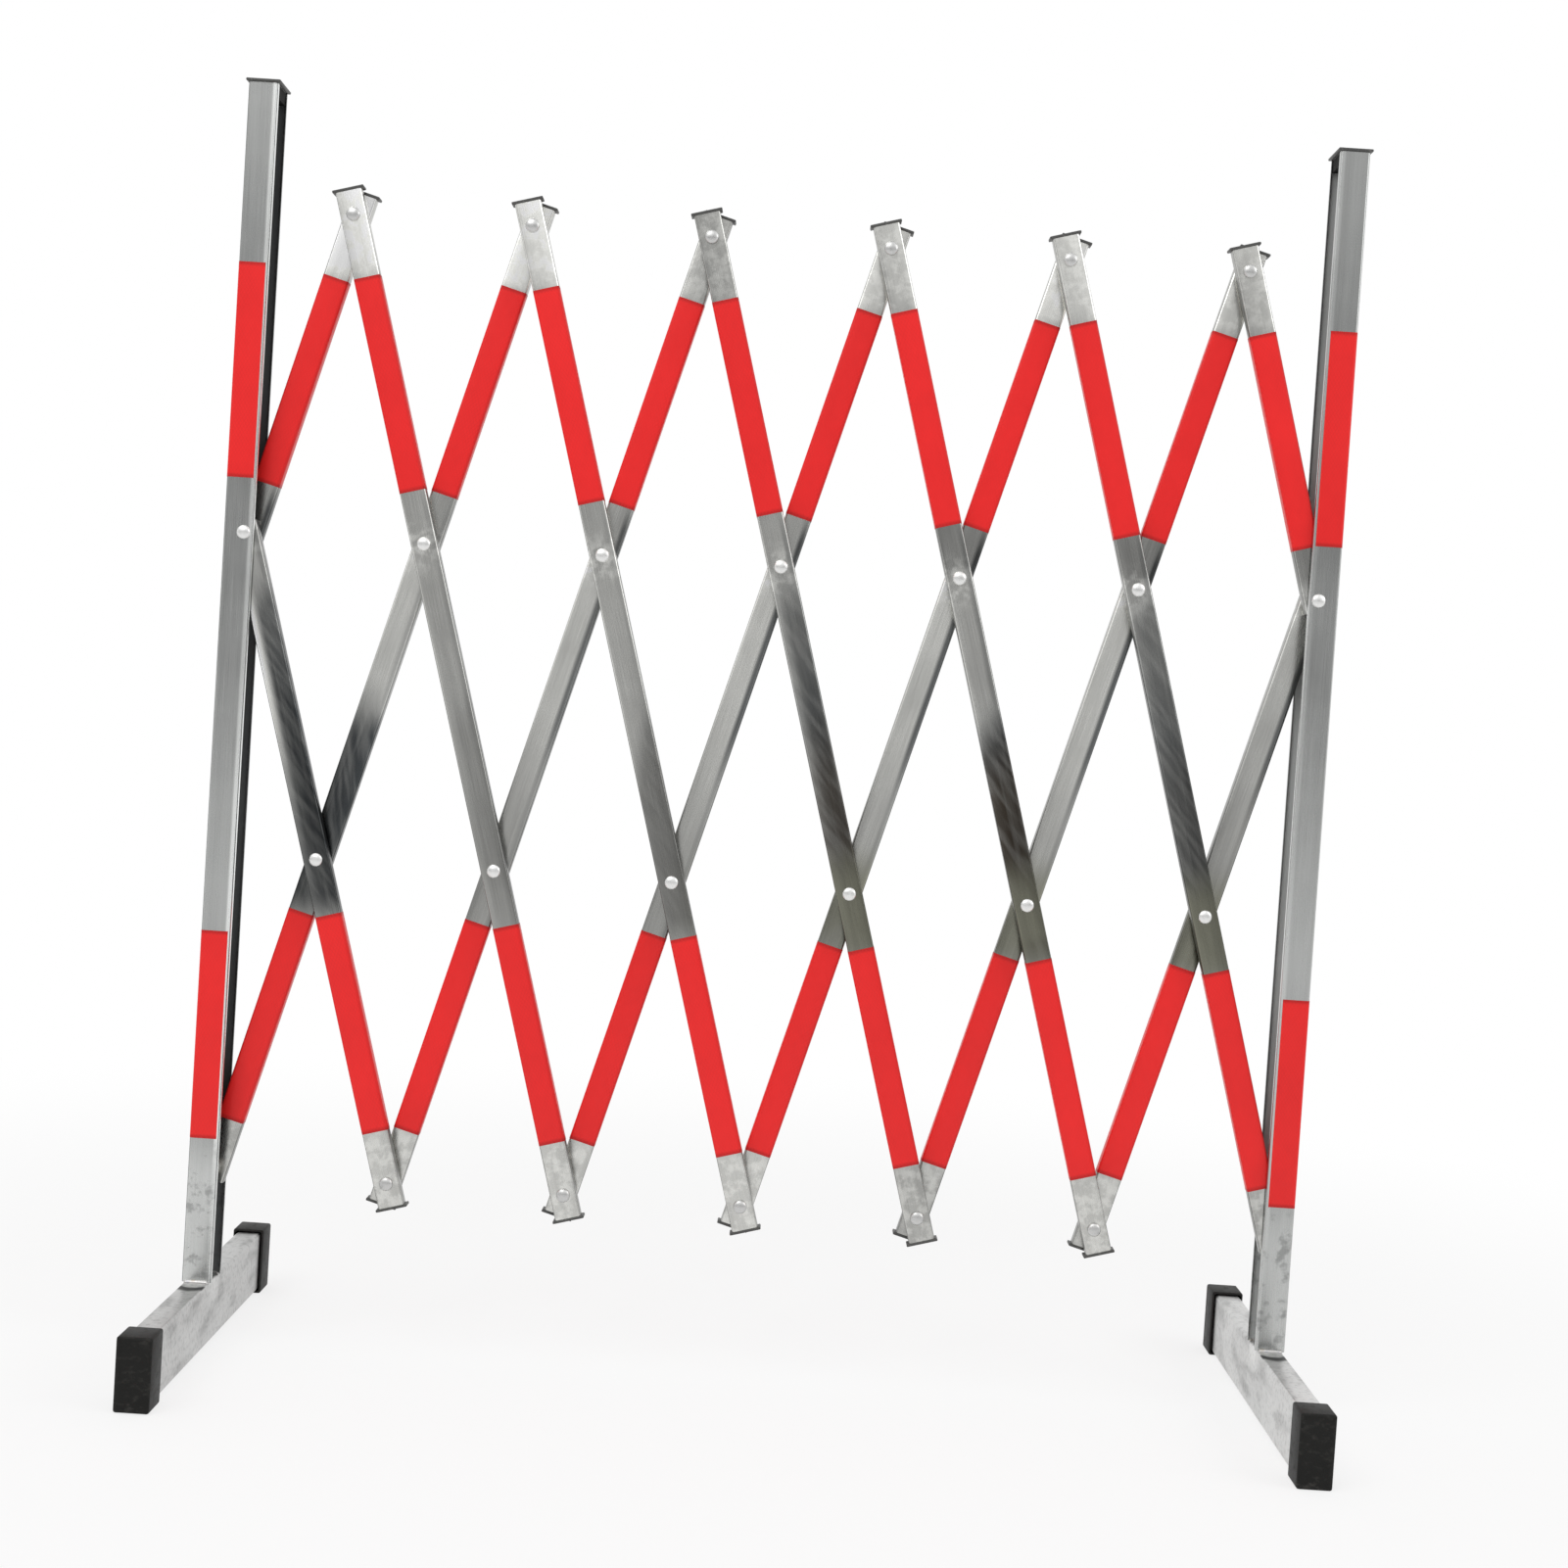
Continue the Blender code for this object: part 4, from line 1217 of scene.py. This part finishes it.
class BARRIER_OT_rivets(PieceOperator, bpy.types.Operator):
    """Add the rivets of the four rows, each with its washer between the layers"""

    bl_idname = "barrier.rivets"
    bl_label = "Rivets"

    # Bevel of the rolled tail at its seat, and the rest of its outline, from its rim into its
    # hollow: steps in from its radius and steps back from its end
    TAIL_BEVEL = 0.0003
    TAIL_STEPS = ((0, 0.0008), (0.0005, 0.0002), (0.0014, 0), (0.0022, 0.0003), (0.0028, 0.0014))

    def model(self, arms, pins):
        seat, collar = layer_outer(arms) + GAP, arms.layer_gap / 2 - GAP
        end = seat + pins.tail_height
        stations = dome(pins, -seat) + [(pins.pin, -seat)]
        stations += ring(pins, -collar, collar, pins.collar)
        stations += [
            (pins.pin, seat), (pins.tail - self.TAIL_BEVEL, seat), (pins.tail, seat + self.TAIL_BEVEL)]
        stations += [(pins.tail - inwards, end - back) for inwards, back in self.TAIL_STEPS]
        return turn_piece("rivet", stations, TURNED_SIDES)

    def execute(self, context):
        arms, pins = context.scene.barrier.arms, context.scene.barrier.fasteners
        rivet = self.model(arms, pins)
        with Model(rivet, polished_fastener_steel(), "bright_fastener") as model:
            for row, (_, shift) in ROWS.items():
                # A shifted row has a rivet more, and the outer rows' heads get a painted shade
                head_shade = row in ("top", "bottom")
                for number in range(1, PITCHES + (1 if shift else 0)):
                    model.place(f"rivet_{row}_{number}", f"{row}_rivet_{number}",
                                Matrix.Translation(pivot(row, number)), {"marks": (head_shade, 0, 0, 1)})
        return {"FINISHED"}


class BARRIER_OT_pivot_bolts(PieceOperator, bpy.types.Operator):
    """Add the two bolts and nuts that hold the lattice in the posts"""

    bl_idname = "barrier.pivot_bolts"
    bl_label = "Pivot bolts"

    # Depth of the thread and bevels of its first turn and its point
    THREAD_DEPTH, THREAD_BEVEL, POINT_BEVEL = 0.0005, 0.0003, 0.0009
    # Where a turn of the thread has its crest and its root
    THREAD_SHARES = (0.4, 0.9)
    # Inset of the nut's faces, and rounding of their rims
    NUT_INSET, NUT_EDGE, NUT_EDGE_SEGMENTS = 0.0007, 0.0006, 2

    def bolt(self, settings):
        arms, pins, posts = settings.arms, settings.fasteners, settings.posts
        seat, collar = posts.depth / 2 + GAP, arms.layer_gap / 2 - GAP
        outer, inner = post_inner_half(posts) - GAP, layer_outer(arms) + GAP
        stations = dome(pins, -seat) + [(pins.pin, -seat)]
        stations += ring(pins, -outer, -inner, pins.spacer)
        stations += ring(pins, -collar, collar, pins.collar)
        stations += ring(pins, inner, outer, pins.spacer)
        y, end = seat, seat + pins.nut_thickness + pins.bolt_point
        crest, root = (share_of_turn * pins.thread for share_of_turn in self.THREAD_SHARES)
        stations.append((pins.pin - self.THREAD_BEVEL, y))
        while y + pins.thread < end - self.THREAD_BEVEL:
            stations += [(pins.pin, y + crest), (pins.pin - self.THREAD_DEPTH, y + root)]
            y += pins.thread
        stations.append((pins.pin - self.THREAD_BEVEL, end - self.THREAD_BEVEL))
        stations.append((pins.pin - self.POINT_BEVEL, end))
        return turn_piece("pivot_bolt", stations, TURNED_SIDES)

    def nut(self, settings):
        """Hexagon nut behind the post, with insets and rounded edges on both faces."""
        pins, seat = settings.fasteners, settings.posts.depth / 2 + GAP
        corners = pins.nut_flats / 2 / math.cos(math.pi / 6)
        start_clean()
        bpy.ops.mesh.primitive_cylinder_add(
            vertices=6, radius=corners, depth=pins.nut_thickness, calc_uvs=False,
            location=(0, seat + pins.nut_thickness / 2, 0), rotation=ALONG_Y,
        )
        nut = settle("nut")

        def on_rim(edge):
            first, second = (corner.co for corner in edge.verts)
            return abs(first.y - second.y) < TOUCH and all(
                abs(math.hypot(place.x, place.z) - corners) < TOUCH for place in (first, second))

        with Editing(nut) as work:
            work.inset(self.NUT_INSET, Y, -Y)
            work.round_edges(on_rim, self.NUT_EDGE, self.NUT_EDGE_SEGMENTS)
        drill(nut, [0], pins.pin + GAP / 2, DRILL_REACH)
        smooth(nut)
        return nut

    def execute(self, context):
        settings = context.scene.barrier
        for piece, label in ((self.bolt(settings), "bolt"), (self.nut(settings), "nut")):
            with Model(piece, polished_fastener_steel(), "bright_fastener") as model:
                for side, (number, _) in SIDES.items():
                    model.place(f"{side}_pivot_{label}", f"{side}_post_{label}",
                                Matrix.Translation(pivot("upper", number)))
        return {"FINISHED"}


class BARRIER_OT_sliders(PieceOperator, bpy.types.Operator):
    """Add the pins and bushes of the two ends that slide in the posts"""

    bl_idname = "barrier.sliders"
    bl_label = "Sliders"

    PIN_BEVEL, BUSH_BEVEL = 0.0006, 0.0004
    PIN_SIDES, BUSH_SIDES = 28, 36

    def pin(self, settings):
        """Pin of the left post: its shoulder keeps the rear arm in its layer."""
        arms, pins = settings.arms, settings.fasteners
        end, bevel = post_inner_half(settings.posts) - GAP, self.PIN_BEVEL
        stations = [(pins.pin - bevel, -end), (pins.pin, -end + bevel)]
        stations += ring(pins, -layer_outer(arms), arms.layer_gap / 2 - GAP, pins.shoulder)
        stations += [(pins.pin, end - bevel), (pins.pin - bevel, end)]
        return turn_piece("slider", stations, self.PIN_SIDES)

    def bush(self, settings):
        """Rear bush, which runs behind the post's lip."""
        posts, bevel = settings.posts, self.BUSH_BEVEL
        radius = posts.pivot_inset - posts.wall - GAP
        near, far = layer_outer(settings.arms) + GAP, posts.depth / 2 - posts.corner
        bush = turn_piece("bush", [
            (radius - bevel, near), (radius, near + bevel),
            (radius, far - bevel), (radius - bevel, far),
        ], self.BUSH_SIDES)
        drill(bush, [0], settings.fasteners.pin + GAP, DRILL_REACH)
        smooth(bush)
        return bush

    def execute(self, context):
        settings = context.scene.barrier
        with Model(self.pin(settings), polished_fastener_steel(), "bright_fastener") as model:
            for side, (number, turn) in SIDES.items():
                placing = Matrix.Translation(pivot("bottom", number)) @ Matrix.Rotation(turn, 4, "Z")
                model.place(f"{side}_slide_pin", f"{side}_slider_pin", placing)
        with Model(self.bush(settings), natural_nylon(), "nylon_bush") as model:
            for side, (number, _) in SIDES.items():
                place = Matrix.Translation(pivot("bottom", number))
                for end, turn in (("rear", 0), ("front", math.pi)):
                    model.place(f"{side}_slide_bush_{end}", f"{side}_slider_bush_{end}",
                                place @ Matrix.Rotation(turn, 4, "Z"))
        return {"FINISHED"}


# Stands

def stand_placing(side):
    number, turn = SIDES[side]
    place = pivot("upper", number)
    return Matrix.Translation((place.x, 0, 0)) @ Matrix.Rotation(turn, 4, "Z")


class BARRIER_OT_posts(PieceOperator, bpy.types.Operator):
    """Add the two lipped channel posts"""

    bl_idname = "barrier.posts"
    bl_label = "Posts"

    # How far each post's streaks are moved, and how much painted shade it has inside
    TONES = {"left": (0.2, 0.85), "right": (0.7, 0.15)}
    # How fast the grain goes on round a corner
    SIDE_GRAIN = 1.3

    def model(self, posts, pins):
        """Channel whose lips are drawn inwards before its corners are rounded."""
        half, front = posts.depth / 2, posts.pivot_inset
        top = posts.height - posts.cap_thickness - GAP
        post = add_block("post", (front - posts.width, -half, posts.foot), (front, half, top))
        with Editing(post) as work:
            work.remove(X, Z, -Z)
            for y in (-half, half):
                work.pick("EDGE", running(Z, lambda edge: at(edge, 0, front) and at(edge, 1, y)))
                work.extrude(y=math.copysign(posts.lip, -y))
            corners = running(Z, lambda edge: at(edge, 1, half) or at(edge, 1, -half))
            work.round_edges(corners, posts.corner, CORNER_SEGMENTS)
        add_wall(post, posts.wall)
        drill(post, [LEFT_PIVOT.z], pins.pin + GAP, posts.depth)
        smooth(post)
        lay_grain(post, X + self.SIDE_GRAIN * Y, Z)
        return post

    def execute(self, context):
        posts, pins = context.scene.barrier.posts, context.scene.barrier.fasteners

        def inside(face):
            x, y, _ = face.center
            skin = posts.wall / 2
            deep = posts.pivot_inset - posts.width + skin < x < posts.pivot_inset - skin
            return 1.0 if deep and abs(y) < posts.depth / 2 - skin else 0.0

        with Model(self.model(posts, pins), brushed_post_steel(), "post_steel") as model:
            for side, (shift, dark) in self.TONES.items():
                model.place(f"{side}_channel", f"{side}_post", stand_placing(side),
                            {"marks": lambda face, place: (inside(face), 0, shift, dark)})
        return {"FINISHED"}


class BARRIER_OT_post_tape(PieceOperator, bpy.types.Operator):
    """Wrap the bands of red tape round the posts"""

    bl_idname = "barrier.post_tape"
    bl_label = "Post tape"

    SHIFTS = {"left": 0.1, "right": 0.9}

    def model(self, name, ends, posts, tape):
        low, high = ends
        half, edge = posts.depth / 2 + tape.thickness, posts.pivot_inset - posts.corner
        back = posts.pivot_inset - posts.width - tape.thickness
        band = add_shell(
            name, (back, -half, low), (edge, half, high), (X, Z, -Z),
            running(Z, lambda line: at(line, 0, back)), posts.corner + tape.thickness)
        add_wall(band, tape.thickness - TAPE_GAP)
        smooth(band)
        lay_grain(band, X + Y, Z)
        return band

    def execute(self, context):
        posts, tape = context.scene.barrier.posts, context.scene.barrier.tape
        for label, shares in (("lower", (tape.post_low_start, tape.post_low_end)),
                              ("upper", (tape.post_high_start, tape.post_high_end))):
            ends = [share_of_height * posts.height for share_of_height in shares]
            band = self.model(f"{label}_band", ends, posts, tape)
            with Model(band, red_reflective_tape(), "red_tape") as model:
                for side, shift in self.SHIFTS.items():
                    model.place(f"{side}_post_{label}_tape", f"{side}_post", stand_placing(side),
                                band_marks(ends, shift, 0))
        return {"FINISHED"}


class BARRIER_OT_post_caps(PieceOperator, bpy.types.Operator):
    """Add the flat caps plugged into the posts' tops"""

    bl_idname = "barrier.post_caps"
    bl_label = "Post caps"

    # Rim round the plate's sunk face, its ledge round the plug, and the plug's taper
    RIM, SUNK, LEDGE = 0.0022, 0.0003, 0.001
    TAPER_SHARES = (0.95, 0.96)

    def model(self, posts):
        half = Vector((posts.width / 2, posts.depth / 2, 0)) + posts.cap_overhang * (X + Y)
        under = Vector((post_middle(posts), 0, posts.height - posts.cap_thickness))
        cap = add_block("cap", under - half, under + half + posts.cap_thickness * Z)
        with Editing(cap) as work:
            work.round_edges(every, posts.cap_edge, EDGE_SEGMENTS)
            work.inset(self.RIM, Z)
            work.move(z=-self.SUNK)
            work.draw_stem(
                (half.x - posts.cap_edge, half.y - posts.cap_edge),
                (posts.width / 2 - posts.wall - GAP, post_inner_half(posts) - GAP),
                self.LEDGE, posts.cap_plug, self.TAPER_SHARES, under)
        smooth(cap)
        return cap

    def execute(self, context):
        cap = self.model(context.scene.barrier.posts)
        with Model(cap, grey_moulded_plastic(), "plastic_cap") as model:
            for side in SIDES:
                model.place(f"{side}_cap", f"{side}_post_cap", stand_placing(side))
        return {"FINISHED"}


class BARRIER_OT_foot_beams(PieceOperator, bpy.types.Operator):
    """Add the two box tubes that carry the posts"""

    bl_idname = "barrier.foot_beams"
    bl_label = "Foot beams"

    # How fast the grain goes on round a corner
    SIDE_GRAIN = 1.3

    def model(self, feet, middle):
        end, top = feet.length / 2 - feet.shoe_end - GAP, beam_top(feet)
        beam = add_shell(
            "beam", (middle - feet.width / 2, -end, top - feet.height),
            (middle + feet.width / 2, end, top), (Y, -Y), running(Y), feet.corner)
        add_wall(beam, feet.wall)
        smooth(beam)
        lay_grain(beam, X + self.SIDE_GRAIN * Z, Y)
        return beam

    def execute(self, context):
        settings = context.scene.barrier
        beam = self.model(settings.feet, post_middle(settings.posts))
        with Model(beam, satin_foot_steel(), "foot_steel") as model:
            for side in SIDES:
                model.place(f"{side}_beam", f"{side}_foot_beam", stand_placing(side))
        return {"FINISHED"}


class BARRIER_OT_foot_shoes(PieceOperator, bpy.types.Operator):
    """Add the four rubber shoes of the feet"""

    bl_idname = "barrier.foot_shoes"
    bl_label = "Foot shoes"

    # Frame round the shoe's sunk end face
    FRAME, SUNK = 0.0035, 0.0005

    def model(self, feet, middle):
        """Front shoe, hollowed to the beam's end with two thirds of the gap round the beam."""
        wall = feet.shoe_wall + GAP
        half_width, height = feet.width / 2 + wall, feet.height + 2 * wall
        front = -feet.length / 2
        mouth = front + feet.shoe_end + GAP + feet.shoe_grip
        shoe = add_block("shoe", (middle - half_width, front, 0), (middle + half_width, mouth, height))
        with Editing(shoe) as work:
            work.round_edges(every, feet.shoe_edge, EDGE_SEGMENTS)
            work.inset(feet.shoe_wall - feet.shoe_edge + GAP / 3, Y)
            work.extrude(y=-feet.shoe_grip)
            work.inset(self.FRAME, -Y)
            work.move(y=self.SUNK)
        smooth(shoe)
        return shoe

    def execute(self, context):
        settings = context.scene.barrier
        middle = post_middle(settings.posts)
        centre = Matrix.Translation((middle, 0, 0))
        half_turn = centre @ Matrix.Rotation(math.pi, 4, "Z") @ centre.inverted()
        shoe = self.model(settings.feet, middle)
        with Model(shoe, black_shoe_rubber(), "rubber_shoe") as model:
            for side in SIDES:
                for end in ("front", "rear"):
                    turned = (end == "rear") == (side == "left")
                    model.place(f"{side}_{end}_shoe", f"{side}_foot_shoe_{end}",
                                stand_placing(side) @ (half_turn if turned else Matrix()))
        return {"FINISHED"}


class BARRIER_OT_welds(PieceOperator, bpy.types.Operator):
    """Add the rippled weld beads in front of and behind the posts' feet"""

    bl_idname = "barrier.welds"
    bl_label = "Welds"

    # A bead stops short of the beam's sides and lies a little off the post and the beam
    END_ROOM, OFF_POST, OFF_BEAM = 0.001, 0.0004, 0.0002
    RIPPLES, BEAD_SIDES = 18, 14
    # Shares of the bead's radius: its tips, where its taper begins, and its crests and troughs
    TIP_SHARE, TAPER_SHARE, TAPER_SLOPE = 0.35, 0.6, 3.2
    CREST_SHARE, TROUGH_SHARE = 1.09, 0.93

    def model(self, feet):
        """Bead along Y, tapered to both tips."""
        half = feet.width / 2 - self.END_ROOM
        stations = [(feet.weld * self.TIP_SHARE, -half)]
        for step in range(1, self.RIPPLES):
            along = 2 * step / self.RIPPLES - 1
            taper = min(1.0, self.TAPER_SHARE + self.TAPER_SLOPE * (1 - abs(along)))
            ripple = self.CREST_SHARE if step % 2 else self.TROUGH_SHARE
            stations.append((feet.weld * taper * ripple, half * along))
        stations.append((feet.weld * self.TIP_SHARE, half))
        return turn_piece("bead", stations, self.BEAD_SIDES)

    def execute(self, context):
        feet, posts = context.scene.barrier.feet, context.scene.barrier.posts
        with Model(self.model(feet), weld_bead_steel(), "foot_steel") as model:
            for side in SIDES:
                for end, direction in (("front", -1), ("rear", 1)):
                    place = Vector((post_middle(posts), direction * (posts.depth / 2 + self.OFF_POST),
                                    beam_top(feet) + self.OFF_BEAM))
                    across = Matrix.Translation(place) @ Matrix.Rotation(math.pi / 2, 4, "Z")
                    model.place(f"{side}_{end}_weld", f"{side}_post", stand_placing(side) @ across,
                                replaces=False)
        return {"FINISHED"}


# Stage

class BARRIER_OT_stage(PieceOperator, bpy.types.Operator):
    """Add the pale floor, the soft lamps, the white surroundings and the camera"""

    bl_idname = "barrier.stage"
    bl_label = "Stage"

    FLOOR_DROP = 0.0004
    FLOOR_SIDES, FLOOR_INSET_SHARE = 96, 0.4
    # Lamps: place, the point that they face, and their sides
    KEY = ((-1.5, -2.3, 3.4), (0, 0, 0.55), (2.6, 2.0))
    FILL = ((2.9, -1.2, 2.2), (0.1, 0, 0.5), (2.0, 1.8))
    # Camera: place, turns about Z, X and Y, and focal length in pixels of the picture
    CAMERA_PLACE = (0.019, -2.128, 0.639)
    CAMERA_TURNS = (math.radians(0.08), math.radians(-1.80), math.radians(-3.68))
    CAMERA_PIXELS = 2282
    SENSOR = 36.0
    FARTHEST = 40

    def floor(self, look):
        start_clean()
        bpy.ops.mesh.primitive_circle_add(
            vertices=self.FLOOR_SIDES, radius=look.floor_radius, fill_type="NGON", calc_uvs=False,
            location=(0, 0, -self.FLOOR_DROP),
        )
        floor = settle("floor")
        with Editing(floor) as work:
            work.inset(self.FLOOR_INSET_SHARE * look.floor_radius, Z)
        floor.data.materials.append(pale_floor(look))

    def lamp(self, name, place, target, size, energy):
        light = bpy.data.lights.new(name, "AREA")
        light.shape = "RECTANGLE"
        light.size, light.size_y = size
        light.energy = energy
        lamp = bpy.data.objects.new(name, light)
        lamp.location = place
        lamp.rotation_euler = (Vector(target) - Vector(place)).to_track_quat("-Z", "Y").to_euler()
        bpy.context.scene.collection.objects.link(lamp)

    def surroundings(self, look):
        """White to the camera; metal sees a softly darker band low on the viewer's side."""
        world = bpy.data.worlds.new("surroundings")
        world.use_nodes = True
        bpy.context.scene.world = world
        sheet = Sheet(world.node_tree)
        _, forward, up = sheet.sides(sheet.node("TexCoord"))
        viewer_side = forward.ramp(-0.10, -0.80)
        level = up.math("ABSOLUTE").ramp(0.06, 0.34, from_value=1.0, to_value=0.0)
        path = sheet.node("LightPath")
        seen, reflected = sheet.seen(path), path.also("Is Glossy Ray")
        mirrored = (1.0 - seen) * reflected * (1.0 - 0.70 * (viewer_side * level))
        matt = (1.0 - seen.math("MAXIMUM", reflected)) * look.sky
        background = world.node_tree.nodes["Background"]
        background.inputs["Color"].default_value = (1, 1, 1, 1)
        sheet.feed(background.inputs["Strength"], seen + mirrored + matt)

    def camera(self):
        turn_z, turn_x, turn_y = self.CAMERA_TURNS
        level = (Matrix.Rotation(turn_z, 3, "Z") @ Matrix.Rotation(turn_x, 3, "X")
                 @ Matrix.Rotation(turn_y, 3, "Y"))
        looking = Matrix((level.col[0], level.col[2], -level.col[1])).transposed().to_4x4()
        lens = bpy.data.cameras.new("camera")
        lens.sensor_width = self.SENSOR
        lens.lens = self.CAMERA_PIXELS / IMAGE_PIXELS * self.SENSOR
        lens.clip_end = self.FARTHEST
        camera = bpy.data.objects.new("camera", lens)
        camera.matrix_world = Matrix.Translation(self.CAMERA_PLACE) @ looking
        bpy.context.scene.collection.objects.link(camera)
        bpy.context.scene.camera = camera

    def execute(self, context):
        look = context.scene.barrier.stage
        self.floor(look)
        self.lamp("key", *self.KEY, look.key_power)
        self.lamp("fill", *self.FILL, look.fill_power)
        self.surroundings(look)
        self.camera()
        context.scene.view_settings.view_transform = "Standard"
        return {"FINISHED"}


class BARRIER_PT_pieces(bpy.types.Panel):
    """Sizes, finishes and the buttons that add the pieces"""

    bl_idname = "BARRIER_PT_pieces"
    bl_label = "Safety barrier"
    bl_space_type = "VIEW_3D"
    bl_region_type = "UI"
    bl_category = "Barrier"

    def draw(self, context):
        settings = context.scene.barrier
        for operator in OPERATORS:
            self.layout.operator(operator.bl_idname)
        for group_name in settings.__annotations__:
            group = getattr(settings, group_name)
            box = self.layout.box()
            for name in group.__annotations__:
                box.prop(group, name)


SETTINGS = (
    ArmSizes, TapeSizes, FastenerSizes, PostSizes, FootSizes, BarrierFinishes, StageLook,
    BarrierSettings,
)
OPERATORS = (
    BARRIER_OT_stage, BARRIER_OT_posts, BARRIER_OT_post_tape, BARRIER_OT_post_caps,
    BARRIER_OT_foot_beams, BARRIER_OT_foot_shoes, BARRIER_OT_welds, BARRIER_OT_arm_tubes,
    BARRIER_OT_end_plugs, BARRIER_OT_arm_tape, BARRIER_OT_rivets, BARRIER_OT_pivot_bolts,
    BARRIER_OT_sliders,
)
CLASSES = (*SETTINGS, *OPERATORS, BARRIER_PT_pieces)


def register():
    for each in CLASSES:
        bpy.utils.register_class(each)
    bpy.types.Scene.barrier = PointerProperty(type=BarrierSettings)


def unregister():
    del bpy.types.Scene.barrier
    for each in reversed(CLASSES):
        bpy.utils.unregister_class(each)


def main():
    register()
    bpy.ops.barrier.stage()
    bpy.ops.barrier.posts()
    bpy.ops.barrier.post_tape()
    bpy.ops.barrier.post_caps()
    bpy.ops.barrier.foot_beams()
    bpy.ops.barrier.foot_shoes()
    bpy.ops.barrier.welds()
    bpy.ops.barrier.arm_tubes()
    bpy.ops.barrier.end_plugs()
    bpy.ops.barrier.arm_tape()
    bpy.ops.barrier.rivets()
    bpy.ops.barrier.pivot_bolts()
    bpy.ops.barrier.sliders()


if __name__ == "__main__":
    main()
